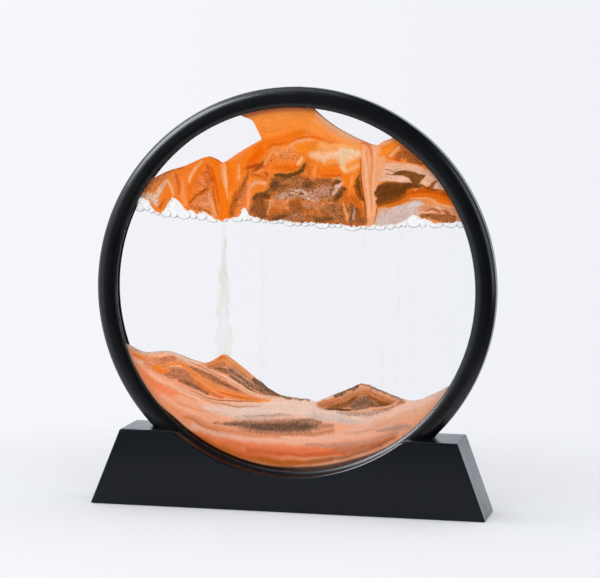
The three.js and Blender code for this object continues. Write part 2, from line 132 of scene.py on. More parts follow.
def cut_away(piece, cutter):
    """Cuts one closed mesh out of another, and removes the cutter."""
    modifier = piece.modifiers.new("cut", "BOOLEAN")
    modifier.operation = "DIFFERENCE"
    modifier.solver = "EXACT"
    modifier.object = cutter
    graph = bpy.context.evaluated_depsgraph_get()
    mesh = bpy.data.meshes.new_from_object(piece.evaluated_get(graph))
    piece.modifiers.clear()
    old = piece.data
    piece.data = mesh
    bpy.data.meshes.remove(old)
    bpy.data.objects.remove(cutter)
    smooth_faces(piece.data)


def round_corner(before, corner, after, radius, steps=5):
    """Points of a rounding that replaces one corner of an outline."""
    corner = Vector(corner)
    into = (Vector(before) - corner).normalized()
    out = (Vector(after) - corner).normalized()
    reach = radius / math.tan(into.angle(out) / 2)
    middle = corner + (into + out).normalized() * math.hypot(radius, reach)
    start = corner + into * reach - middle
    end = corner + out * reach - middle
    points = []
    for i in range(steps + 1):
        turn = start.lerp(end, i / steps)
        points.append(tuple(middle + turn.normalized() * radius))
    return points


def around(radius, start, end, steps):
    """Points in x and height on a circle about the frame's axis."""
    turns = np.linspace(start, end, steps)
    return [(radius * math.cos(t), frame_height + radius * math.sin(t)) for t in turns]


def across_disc(name, radius, half, segments):
    """A disc about the frame's axis, for cutting."""
    loop = around(radius, 0, 2 * math.pi, segments + 1)[:-1]
    return rounded_block(name, loop, half, half / 50, 1)


shoulder_drop = frame_height - stand_top
saddle_x = math.sqrt(saddle_radius ** 2 - shoulder_drop ** 2)
saddle_turn = math.atan2(-shoulder_drop, saddle_x)
lip_turn = saddle_turn - saddle_corner / saddle_radius
slant = (stand_foot_half - stand_top_half) / (stand_top - stand_foot)
cut_off = 0.002
cutter_edge = 0.0001
pocket_room = 0.00005
foot_right = (stand_foot_half + slant * cut_off, stand_foot - cut_off)
foot_left = (-foot_right[0], foot_right[1])
top_left, top_right = (-stand_top_half, stand_top), (stand_top_half, stand_top)
lip_right = (saddle_x + saddle_corner, stand_top)
lip_left = (-lip_right[0], stand_top)
lip_start, lip_bend = Vector(lip_right), Vector((saddle_x, stand_top))
lip_end = Vector(around(saddle_radius, lip_turn, 0, 2)[0])
saddle_lip = [tuple(lip_start.lerp(lip_bend, step).lerp(lip_bend.lerp(lip_end, step), step))
              for step in np.linspace(0, 1, 7)[:-1]]
stand_outline = [
    foot_left, foot_right,
    *round_corner(foot_right, top_right, lip_right, stand_corner_round),
    *saddle_lip,
    *around(saddle_radius, lip_turn, -math.pi - lip_turn, 97),
    *[(-x, z) for x, z in saddle_lip[::-1]],
    *round_corner(lip_left, top_left, foot_left, stand_corner_round),
]
stand = rounded_block("stand", stand_outline, stand_depth_half, stand_edge_round)
cut_away(stand, across_disc("groove", groove_radius, groove_half, 256))
below = [(-0.1, -0.01), (0.1, -0.01), (0.1, stand_foot), (-0.1, stand_foot)]
cut_away(stand, rounded_block("below_foot", below, 0.03, cutter_edge, 1))
end_wall = stand_wall * math.hypot(1, slant)


def inside_half(height):
    """Half the room between the slanted end walls at a height."""
    return stand_foot_half - end_wall - slant * (height - stand_foot)


pocket_low, pocket_high = stand_foot - stand_wall, plate_top + pocket_room
pocket_outline = [
    (-inside_half(pocket_low), pocket_low), (inside_half(pocket_low), pocket_low),
    (inside_half(pocket_high), pocket_high), (-inside_half(pocket_high), pocket_high),
]
cut_away(stand, rounded_block("pocket", pocket_outline, stand_depth_half - stand_wall, cutter_edge, 1))
edge_easing = stand.modifiers.new("edges", "BEVEL")
edge_easing.width = 0.0003
edge_easing.segments = 2
edge_easing.limit_method = "ANGLE"
edge_easing.angle_limit = math.radians(50)
stand.modifiers.new("normals", "WEIGHTED_NORMAL").keep_sharp = True


def feed(tree, node, inputs):
    """Sets inputs of a node as values, or as links from other nodes."""
    for key, value in dict(inputs).items():
        if isinstance(value, bpy.types.NodeSocket):
            tree.links.new(value, node.inputs[key])
        else:
            node.inputs[key].default_value = value


def add_node(tree, kind, inputs=(), **settings):
    """A shader node with its settings and inputs."""
    node = tree.nodes.new(kind)
    for key, value in settings.items():
        setattr(node, key, value)
    feed(tree, node, inputs)
    return node


def new_finish(name):
    """A new node material, with its tree and its surface shader."""
    finish = bpy.data.materials.new(name)
    finish.use_nodes = True
    return finish, finish.node_tree, finish.node_tree.nodes["Principled BSDF"]


def place_on(tree):
    """The place on the piece, for its textures."""
    return add_node(tree, "ShaderNodeTexCoord").outputs["Object"]


def cloud(tree, place, scale, detail, distortion=0.0):
    """Cloudy variation from 0 to 1."""
    return add_node(tree, "ShaderNodeTexNoise", {"Vector": place, "Scale": scale, "Detail": detail,
                                                 "Distortion": distortion}).outputs["Fac"]


def spread(tree, value, low, high, start=0.0, end=1.0, **settings):
    """A value between start and end, carried over to between low and high."""
    return add_node(tree, "ShaderNodeMapRange", {"Value": value, "From Min": start, "From Max": end, "To Min": low,
                                                 "To Max": high}, **settings).outputs["Result"]


def tint(tree, share, first, second):
    """Two colours mixed by a share of the second."""
    return add_node(tree, "ShaderNodeMix", {"Factor": share, 6: first, 7: second}, data_type="RGBA").outputs[2]


def relief(tree, height, strength, distance):
    """A fine relief of a surface."""
    bump = add_node(tree, "ShaderNodeBump", {"Height": height, "Strength": strength, "Distance": distance})
    return bump.outputs["Normal"]


def paler_edges(tree, shade, edge_tone, radius, sharp, most):
    """A colour with a paler one at edges, up to a share at edges that are sharp."""
    eased = add_node(tree, "ShaderNodeBevel", {"Radius": radius}, samples=4).outputs[0]
    plain = add_node(tree, "ShaderNodeNewGeometry").outputs["Normal"]
    along = add_node(tree, "ShaderNodeVectorMath", {0: eased, 1: plain}, operation="DOT_PRODUCT").outputs["Value"]
    return tint(tree, spread(tree, along, 0.0, most, 0.99, sharp), shade, edge_tone)


def black_plastic(name, colour, roughness, texture, gloss=0.5):
    """Satin black moulded plastic: a fine even texture, faint flow marks, duller patches from handling, paler edges."""
    finish, tree, shader = new_finish(name)
    place = place_on(tree)
    flow = cloud(tree, place, 45.0, 4.0, 0.6)
    shade = tint(tree, flow, linear(*colour), linear(*(c * 1.22 for c in colour)))
    feed(tree, shader, {
        "Base Color": paler_edges(tree, shade, linear(*(c * 2.2 for c in colour)), 0.0005, 0.9, 0.5),
        "Roughness": spread(tree, flow, roughness - 0.04, roughness + 0.05, 0.3, 0.7),
        "Normal": relief(tree, cloud(tree, place, 2600.0, 2.0), texture, 0.00004),
        "IOR": 1.45,
        "Specular IOR Level": gloss,
    })
    return finish


for finish_name, roughness, gloss in (("stand_plastic", 0.22, 0.26), ("saddle_plastic", 0.22, 0.04),
                                      ("polished_edge", 0.16, 1.0)):
    stand.data.materials.append(black_plastic(finish_name, (10, 14, 20), roughness, 0.3, gloss))
saddle_finish, edge_finish = 1, 2
faces_front, faces_edge = 0.99, 0.7
for face in stand.data.polygons:
    reach = math.hypot(face.center.x, face.center.z - frame_height)
    forward = abs(face.normal.y)
    if abs(reach - saddle_radius) < stand_edge_round and forward < faces_front:
        face.material_index = saddle_finish if forward < faces_edge else edge_finish
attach(stand, "stand")
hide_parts("stand_shell")

# Base plate: a flat black moulding let into the open underside of the stand, flush with its rim.
# It is screwed to posts inside the stand, with a recess around each screw for a foot pad.
# Pads are punched from soft black rubber and glued in; the screws are plain steel with a cross slot.
pad_radius = 0.0045
pad_top = 0.00105
pad_chamfer = 0.0003
pad_easing = 0.0001


def refinish(node, finish):
    """Gives a CAD piece that stays in view a new finish."""
    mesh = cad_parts[node].data
    mesh.materials.clear()
    mesh.materials.append(finish)


def turned_piece(name, section, segments):
    """A turned piece about the vertical, from pairs of radius and height."""
    points = []
    for radius, height in section:
        for i in range(segments):
            turn = 2 * math.pi * i / segments
            points.append(Vector((radius * math.cos(turn), radius * math.sin(turn), height)))
    faces = tube_faces(len(section), segments)
    faces.append(tuple(range(segments))[::-1])
    faces.append(tuple(range((len(section) - 1) * segments, len(section) * segments)))
    return new_piece(name, points, faces)


def soft_rubber(name, colour):
    """Matt black rubber with a fine cloudy bloom and a slightly uneven skin."""
    finish, tree, shader = new_finish(name)
    bloom = cloud(tree, place_on(tree), 700.0, 5.0)
    feed(tree, shader, {
        "Base Color": tint(tree, bloom, linear(*colour), linear(*(c * 1.7 for c in colour))),
        "Roughness": spread(tree, bloom, 0.78, 0.92),
        "Normal": relief(tree, bloom, 0.4, 0.0001),
    })
    return finish


refinish("stand_base_plate", black_plastic("plate_plastic", (20, 21, 23), 0.55, 0.6))
pad_rubber = soft_rubber("pad_rubber", (24, 24, 25))
screw_steel, tree, shader = new_finish("screw_steel")
place = place_on(tree)
turning_lines = cloud(tree, place, 4000.0, 2.0)
steel_shade = tint(tree, cloud(tree, place, 700.0, 3.0), linear(158, 162, 168), linear(192, 196, 202))
feed(tree, shader, {
    "Base Color": paler_edges(tree, steel_shade, linear(222, 225, 229), 0.0002, 0.85, 0.7),
    "Roughness": spread(tree, turning_lines, 0.25, 0.5),
    "Normal": relief(tree, turning_lines, 0.25, 0.00003),
    "Metallic": 1.0,
})
for corner in ("front_left", "front_right", "rear_left", "rear_right"):
    low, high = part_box("foot_pad_" + corner)
    middle = (low + high) / 2
    pad = turned_piece("pad_" + corner, [
        (pad_radius - pad_chamfer, 0.0), (pad_radius - pad_easing, pad_easing), (pad_radius, pad_chamfer),
        (pad_radius, pad_top - pad_easing), (pad_radius - pad_easing, pad_top),
    ], 48)
    pad.data.transform(Matrix.Translation((middle.x, middle.y, 0)))
    pad.data.materials.append(pad_rubber)
    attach(pad, "stand")
    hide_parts("foot_pad_" + corner)
    refinish("base_screw_" + corner, screw_steel)

# Frame rings: a bezel in front and a deeper ring behind, moulded in the same black plastic.
# Their section is fully rounded; they snap together by a tongue, and a fine seam shows on the front rounding.
# The inner lips hold the two panes, and the deeper ring has the filling hole at its top.
frame_half = 0.0066
rim_round = 0.004
lip_round = 0.0036
lip_inner = 0.00455
opening_radius = 0.0809
rear_opening_radius = 0.0818
channel_radius = 0.0868
seam_depth = 0.0043
seam_chamfer = 0.0003
seam_gap = 0.00005
rim_skin = 0.0009
tongue_bottom = 0.0019
tongue_clearance = 0.00015
ring_segments = 200
plug_hole_radius = 0.0016


def ring_piece(name, section):
    """A ring about the frame's axis from a closed section of radius and depth in front of the middle plane."""
    area = sum(a[0] * b[1] - b[0] * a[1] for a, b in zip(section, section[1:] + section[:1]))
    rows = section if area > 0 else section[::-1]
    points = []
    for i in range(ring_segments):
        turn = 2 * math.pi * i / ring_segments
        for radius, depth in rows:
            points.append((radius * math.cos(turn), -depth, frame_height + radius * math.sin(turn)))
    return new_piece(name, points, tube_faces(ring_segments, len(rows), joined=True), 28)


def rim_point(turn):
    """Radius and depth of a point on the rim's front rounding."""
    return (frame_radius - rim_round + rim_round * math.cos(turn),
            frame_half - rim_round + rim_round * math.sin(turn))


def lip(opening):
    """Points of a rounded lip, from the crest of the ring to its edge on the glass."""
    return [(opening + lip_round - lip_round * math.sin(turn), lip_inner + (frame_half - lip_inner) * math.cos(turn))
            for turn in np.linspace(0, math.pi / 2, 14)[1:]]


def rim_arc(start, end, steps):
    """Points on the rim's front rounding between two angles."""
    return [rim_point(turn) for turn in np.linspace(start, end, steps)]


def rim_turn(depth):
    """The angle on the rim's front rounding at a depth."""
    return math.asin((depth - frame_half + rim_round) / rim_round)


quarter = math.pi / 2
seam_edge = rim_point(rim_turn(seam_depth))[0] - seam_chamfer
tongue_radius = seam_edge - rim_skin - tongue_clearance
bezel = ring_piece("front_ring", [
    (seam_edge, seam_depth + seam_gap),
    *rim_arc(rim_turn(seam_depth + seam_chamfer), quarter, 12),
    *lip(opening_radius),
    (channel_radius, lip_inner), (channel_radius, tongue_bottom),
    (tongue_radius, tongue_bottom), (tongue_radius, seam_depth + seam_gap),
])
behind = [(radius, -depth) for radius, depth in [*rim_arc(0, quarter, 14), *lip(rear_opening_radius)]]
deep_ring = ring_piece("rear_ring", [
    (seam_edge, seam_depth),
    *rim_arc(rim_turn(seam_depth - seam_chamfer), 0, 6),
    *behind,
    (channel_radius, -lip_inner), (channel_radius, tongue_bottom - tongue_clearance),
    (tongue_radius + tongue_clearance, tongue_bottom - tongue_clearance),
    (tongue_radius + tongue_clearance, seam_depth),
])


def hole_through(name, radius, start, end, segments):
    """A cutter for a hole that runs down through the top of a ring."""
    return turned_piece(name, [(radius, frame_height + start), (radius, frame_height + end)], segments)


cut_away(deep_ring, hole_through("plug_hole", plug_hole_radius, 0.083, 0.095, 40))
ring_plastic = black_plastic("ring_plastic", (6, 7, 10), 0.28, 0.2)
for ring, node in ((bezel, "front_frame_ring"), (deep_ring, "rear_frame_ring")):
    ring.data.materials.append(ring_plastic)
    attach(ring, "frame")
    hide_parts(node)

# Panes: two round sheets of clear float glass, cut, with ground edges, one on each side of the cell.
# The bezel and the rear lip hold them against the sealing rings. They show what is behind them unbent,
# with the reflection of plain glass on the outer faces and almost none where the liquid touches them.
pane_outer_side = 0.0033
least_gloss_outside = 0.015
most_gloss = 0.75


def reckon(tree, operation, *values):
    """One step of arithmetic on values in a shader."""
    return add_node(tree, "ShaderNodeMath", dict(enumerate(values)), operation=operation).outputs[0]


def see_through_finish(name):
    """A new node material with no surface yet, and its tree."""
    finish, tree, shader = new_finish(name)
    tree.nodes.remove(shader)
    return finish, tree


def clear(tree, inputs=()):
    """A surface that lets light through, all of it or in a colour."""
    return add_node(tree, "ShaderNodeBsdfTransparent", inputs).outputs[0]


def matt(tree, red, green, blue):
    """A matt surface of one colour."""
    return add_node(tree, "ShaderNodeBsdfDiffuse", {"Color": linear(red, green, blue)}).outputs[0]


def layer(tree, share, under, over):
    """Two surfaces mixed by a share of the second."""
    return add_node(tree, "ShaderNodeMixShader", {0: share, 1: under, 2: over}).outputs[0]


def show(tree, surface):
    """Makes a surface the one that a material shows."""
    feed(tree, tree.nodes["Material Output"], {"Surface": surface})


pane_glass, tree = see_through_finish("pane_glass")
place = place_on(tree)
film = spread(tree, cloud(tree, place, 60.0, 5.0, 1.0), 0.01, 0.09, 0.35, 0.75)
reflection = add_node(tree, "ShaderNodeBsdfGlossy", {"Roughness": film}).outputs[0]
low_angle = reckon(tree, "POWER", add_node(tree, "ShaderNodeLayerWeight", {"Blend": 0.5}).outputs["Facing"], 5.0)
pane_depth = reckon(tree, "ABSOLUTE", add_node(tree, "ShaderNodeSeparateXYZ", {"Vector": place}).outputs["Y"])
least_gloss = spread(tree, reckon(tree, "GREATER_THAN", pane_depth, pane_outer_side), 0.0, least_gloss_outside)
show(tree, layer(tree, spread(tree, low_angle, least_gloss, most_gloss),
                 clear(tree, {"Color": (0.998, 0.999, 0.999, 1)}), reflection))
for node in ("front_glass", "rear_glass"):
    refinish(node, pane_glass)

# Spacer, seals and plug: what closes the cell at its edge. The spacer is a black plastic ring that keeps the panes
# apart, with a thin silicone seal on each side. The plug is a soft bung in the filling hole at the top of the rim,
# through which a needle tops up liquid or air.
cell_radius = 0.082
pane_radius = 0.0865
spacer_half = 0.0015
spacer_easing = 0.0001
stem_hole_radius = 0.0011
spacer = ring_piece("spacer", [
    (cell_radius, -spacer_half + spacer_easing), (cell_radius + spacer_easing, -spacer_half),
    (pane_radius, -spacer_half), (pane_radius, spacer_half),
    (cell_radius + spacer_easing, spacer_half), (cell_radius, spacer_half - spacer_easing),
])
cut_away(spacer, hole_through("stem_hole", stem_hole_radius, 0.08, 0.09, 32))
spacer.data.materials.append(black_plastic("spacer_plastic", (14, 14, 15), 0.5, 0.4))
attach(spacer, "frame")
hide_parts("spacer_ring")
seal_silicone = soft_rubber("seal_silicone", (38, 40, 42))
for node in ("front_seal", "rear_seal"):
    refinish(node, seal_silicone)
plug = turned_piece("plug", [(r, frame_height + z) for r, z in [
    (0.0008, 0.0822), (0.0009, 0.0823), (0.0009, 0.0868), (0.0014, 0.0868), (0.0014, 0.08925), (0.00134, 0.0894),
    (0.00115, 0.0895), (0.0006, 0.08945), (0.0003, 0.0893), (0.0001, 0.08915),
]], 40)
plug.data.materials.append(pad_rubber)
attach(plug, "frame")
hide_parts("filler_plug")

# Sand: fine silica grains in two colours, orange and dark brown, with some pale ones, in clear liquid.
# It fills the cell from pane to pane, so its front is as flat as the glass. Grains that ran down last lie in bands
# and streaks, and where both colours mix the sand looks speckled.
mm = 0.001
sand_half = 0.0019
sand_radius = 0.08185
sand_edge = 1000 * sand_radius
grains_per_mm = 40
dark_grain = (86, 54, 30)


def lattice(column, row, seed):
    """A fixed chance value from 0 to 1 for each point of a lattice."""
    mixed = (column.astype(np.int64) * 374761393 + row.astype(np.int64) * 668265263 + seed * 974711) & 0xFFFFFFFF
    mixed = ((mixed ^ (mixed >> 13)) * 1274126177) & 0xFFFFFFFF
    return ((mixed ^ (mixed >> 16)) & 0xFFFF) / 65535


def waver(x, h, size, seed):
    """Smooth chance variation from -1 to 1, with bumps of a size in mm."""
    column, row = np.floor(x / size), np.floor(h / size)
    s, t = x / size - column, h / size - row
    s, t = s * s * (3 - 2 * s), t * t * (3 - 2 * t)
    low = lattice(column, row, seed) * (1 - s) + lattice(column + 1, row, seed) * s
    high = lattice(column, row + 1, seed) * (1 - s) + lattice(column + 1, row + 1, seed) * s
    return 2 * (low * (1 - t) + high * t) - 1


def waver_at(x, h, size, seed):
    """The same variation at one place."""
    return float(waver(np.array([x], float), np.array([h], float), size, seed)[0])


def grain_chance(x, h, seed):
    """A fixed chance value from 0 to 1 for the grain at each place in mm."""
    return lattice(np.round(x * grains_per_mm), np.round(h * grains_per_mm), seed)


def lay_sand(x, h, laid, bands, softness, roughness, lining, seed):
    """Lays bands of sand over places in mm, one after another, and changes their colours and shares of dark grains.
    A band is a colour, a share of dark grains, and points of x, height and half width. Fine lines run along it.
    Roughness is for its borders, lining for the strength of the lines."""
    colour, dark = laid
    bend, coarse, fine = (0.45, 5.0), (0.35, 1.6), (0.2, 0.7)
    least_soft, loose_share, mottled_share = 0.15, 0.12, 0.15

    def shift(kind, k):
        """A bend of the borders, from its strength and its size in mm."""
        return kind[0] * waver(x, h, kind[1], seed + k)

    shift_x, shift_h = (at + shift(bend, k) + roughness * (shift(coarse, k + 1) + shift(fine, k + 2))
                        for at, k in ((x, 0), (h, 3)))
    chance = grain_chance(x, h, seed + 20) - 0.5
    for number, (tone, share, points) in enumerate(bands):
        cover, way, aside, start = np.zeros(len(x)), np.zeros(len(x)), np.zeros(len(x)), 0.0
        for (x0, h0, w0), (x1, h1, w1) in zip(points, points[1:]):
            run, rise = x1 - x0, h1 - h0
            length = math.hypot(run, rise)
            along = np.clip(((shift_x - x0) * run + (shift_h - h0) * rise) / length ** 2, 0, 1)
            off = np.hypot(shift_x - x0 - along * run, shift_h - h0 - along * rise)
            width = w0 + (w1 - w0) * along
            here = np.clip(((1 + softness / 2) * width - off) / (softness * width + least_soft), 0, 1)
            nearer = here > cover
            cover = np.where(nearer, here, cover)
            way = np.where(nearer, start + along * length, way)
            aside = np.where(nearer, ((shift_h - h0) * run - (shift_x - x0) * rise) / length, aside)
            start += length
        loose = roughness * min(1.0, share / loose_share)
        cover = np.clip(cover + (2.2 * chance + 0.9 * waver(x, h, 1.0, seed + 8)) * loose * cover * (1 - cover), 0, 1)
        cover = cover * cover * (3 - 2 * cover)
        cover *= 0.88 + 0.12 * waver(x, h, 1.3, seed + 5)
        lines = waver(way / 7, aside / 0.55, 1.0, seed + 9 + number)
        lines += 0.6 * waver(way / 3, aside / 0.3, 1.0, seed + 10 + number)
        lined = np.array(tone, float) * (1 + lining * lines[:, None])
        colour += (lined - colour) * cover[:, None]
        dark += (share - dark) * cover
    mottle = 0.6 * waver(x, h, 2.4, seed + 30) + 0.5 * waver(x, h, 0.9, seed + 31)
    loose = roughness * np.clip(dark / mottled_share, 0, 1)
    colour *= 1 + (loose * (0.07 * mottle + 0.12 * chance))[:, None]
    dark *= np.clip(1 + 0.75 * roughness * mottle, 0.15, 1.8)


def plain_sand(count, tone, share):
    """The ground that bands are laid on: one colour and one share of dark grains."""
    return np.tile(np.array(tone, float), (count, 1)), np.full(count, float(share))


def flowing_line(points, steps=10):
    """A smooth line through points."""
    p = np.array([points[0], *points, points[-1]], float)
    line = []
    for i in range(1, len(p) - 2):
        for t in np.linspace(0, 1, steps, endpoint=False):
            a = (p[i + 1] - p[i - 1]) / 2
            b = (p[i + 2] - p[i]) / 2
            gap = p[i + 1] - p[i]
            line.append(p[i] + a * t + (3 * gap - 2 * a - b) * t * t + (a + b - 2 * gap) * t ** 3)
    return [*line, p[-1]]


def height_on(line, x):
    """Height of a line that runs from left to right."""
    line = np.array(line)
    return np.interp(x, line[:, 0], line[:, 1])


def sand_sheet(outline, step, fine_above=None, fine_step=None):
    """Points and triangles in mm that fill an outline with an even net, finer above a height."""
    outline = np.array(outline, float)
    low, high = outline.min(0), outline.max(0)
    change = fine_above or high[1]
    row_share = 0.87
    net = []
    for floor, ceiling, size in ((low[1], change, step), (change, high[1], fine_step or step)):
        for i, h in enumerate(np.arange(floor, ceiling, size * row_share)):
            net += [(x + (i % 2) * size / 2, h) for x in np.arange(low[0], high[0], size)]
    count = len(outline)
    edges = [(i, (i + 1) % count) for i in range(count)]
    points, _, triangles, *_ = delaunay_2d_cdt(
        [Vector(p) for p in [*outline.tolist(), *net]], edges, [list(range(count))], 1, 1e-4)
    return np.array([p[:] for p in points]), np.array(triangles)


def sand_piece(name, points, triangles, kept, front, rear, recess, node):
    """One body of sand: the kept triangles on the front pane, their like on the rear pane, and a skin between.
    Front and rear are colours with dark shares; recess is how far the front lies under the rear, in mm."""
    triangles = triangles[kept]
    used, local = np.unique(triangles, return_inverse=True)
    triangles = local.reshape(-1, 3)
    flat = points[used]
    count = len(used)
    places = np.zeros((2 * count, 3))
    places[:count, 0] = places[count:, 0] = flat[:, 0] * mm
    places[:count, 2] = (flat[:, 1] - recess[used]) * mm + frame_height
    places[count:, 2] = flat[:, 1] * mm + frame_height
    places[:count, 1], places[count:, 1] = -sand_half, sand_half
    ways = np.concatenate([triangles[:, [0, 1]], triangles[:, [1, 2]], triangles[:, [2, 0]]])
    known = set(map(tuple, ways))
    rim = [(a, b) for a, b in map(tuple, ways) if (b, a) not in known]
    skin = [(b, a, a + count, b + count) for a, b in rim]
    piece = new_piece(name, places, [*triangles.tolist(), *(triangles[:, ::-1] + count).tolist(), *skin], 50)
    laid = piece.data.color_attributes.new("laid_sand", "FLOAT_COLOR", "POINT")
    values = np.ones((2 * count, 4))
    for start, (colour, dark) in ((0, front), (count, rear)):
        values[start:start + count, :3] = to_linear(np.clip(colour[used] / 255, 0, 1))
        values[start:start + count, 3] = dark[used]
    laid.data.foreach_set("color", values.ravel())
    piece.data.materials.append(loose_sand)
    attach(piece, "contents")
    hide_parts(node)


loose_sand, tree, shader = new_finish("loose_sand")
laid = add_node(tree, "ShaderNodeAttribute", attribute_name="laid_sand").outputs
grains = add_node(tree, "ShaderNodeTexVoronoi", {"Vector": place_on(tree), "Scale": 2400.0})
chance = add_node(tree, "ShaderNodeSeparateColor", {"Color": grains.outputs["Color"]}).outputs
dark = spread(tree, reckon(tree, "SUBTRACT", laid["Alpha"], chance["Red"]), 0.0, 0.8, 0.0, 0.1)
dullest, brightest = (reckon(tree, "MULTIPLY_ADD", laid["Alpha"], slope, start)
                      for slope, start in ((-0.7, 0.95), (0.8, 1.09)))
lit = spread(tree, chance["Green"], dullest, brightest)
lit_grain = add_node(tree, "ShaderNodeVectorMath", {0: laid["Color"], "Scale": lit}, operation="SCALE").outputs[0]
feed(tree, shader, {
    "Base Color": tint(tree, dark, lit_grain, linear(*dark_grain)),
    "Roughness": spread(tree, chance["Blue"], 0.72, 0.88),
    "Normal": relief(tree, grains.outputs["Distance"], 0.35, 0.0001),
    "Specular IOR Level": 0.02,
})

# Fallen sand: a bed in the bottom of the cell, in pale and orange bands that follow the bowl, with a brown patch.
# Two dunes lie on it, the left one under the stream that still runs. Along the top, a thin edge of grey, brown or
# pale grains lies a little higher on the front pane than on the rear one.
fallen_surface = flowing_line([
    (-84, -24), (-77, -27.6), (-68.5, -31), (-57.5, -30.2), (-46.4, -33.6), (-39.4, -34.6), (-35, -32.3),
    (-32.6, -30.9), (-31, -31), (-28.6, -32.6), (-24.4, -35.6), (-17, -41.2), (-9.6, -46.3), (-4, -48.3), (4, -49),
    (11, -49.8), (19.4, -46.2), (26.6, -43.2), (32, -41.4), (41, -44.6), (48.2, -47), (53, -48), (59, -46.5),
    (66, -43.1), (72, -39.5), (84, -32),
], 24)
rough_from = -18
fallen_surface = [(x, h + (0.22 * waver_at(x, 0, 1.1, 17) if x > rough_from else 0.0)) for x, h in fallen_surface]
left_dune_foot = flowing_line([
    (-70, -22), (-68.5, -31), (-65, -37.4), (-56.5, -42.4), (-40.4, -49), (-23.8, -51.4), (-11.5, -50.6),
    (-4, -48.3), (2, -40),
])
right_dune_foot = flowing_line([
    (7, -43), (11, -49.8), (16.7, -53.3), (28.8, -53.4), (37.8, -51.2), (46.8, -49.2), (53, -48), (57, -42),
])
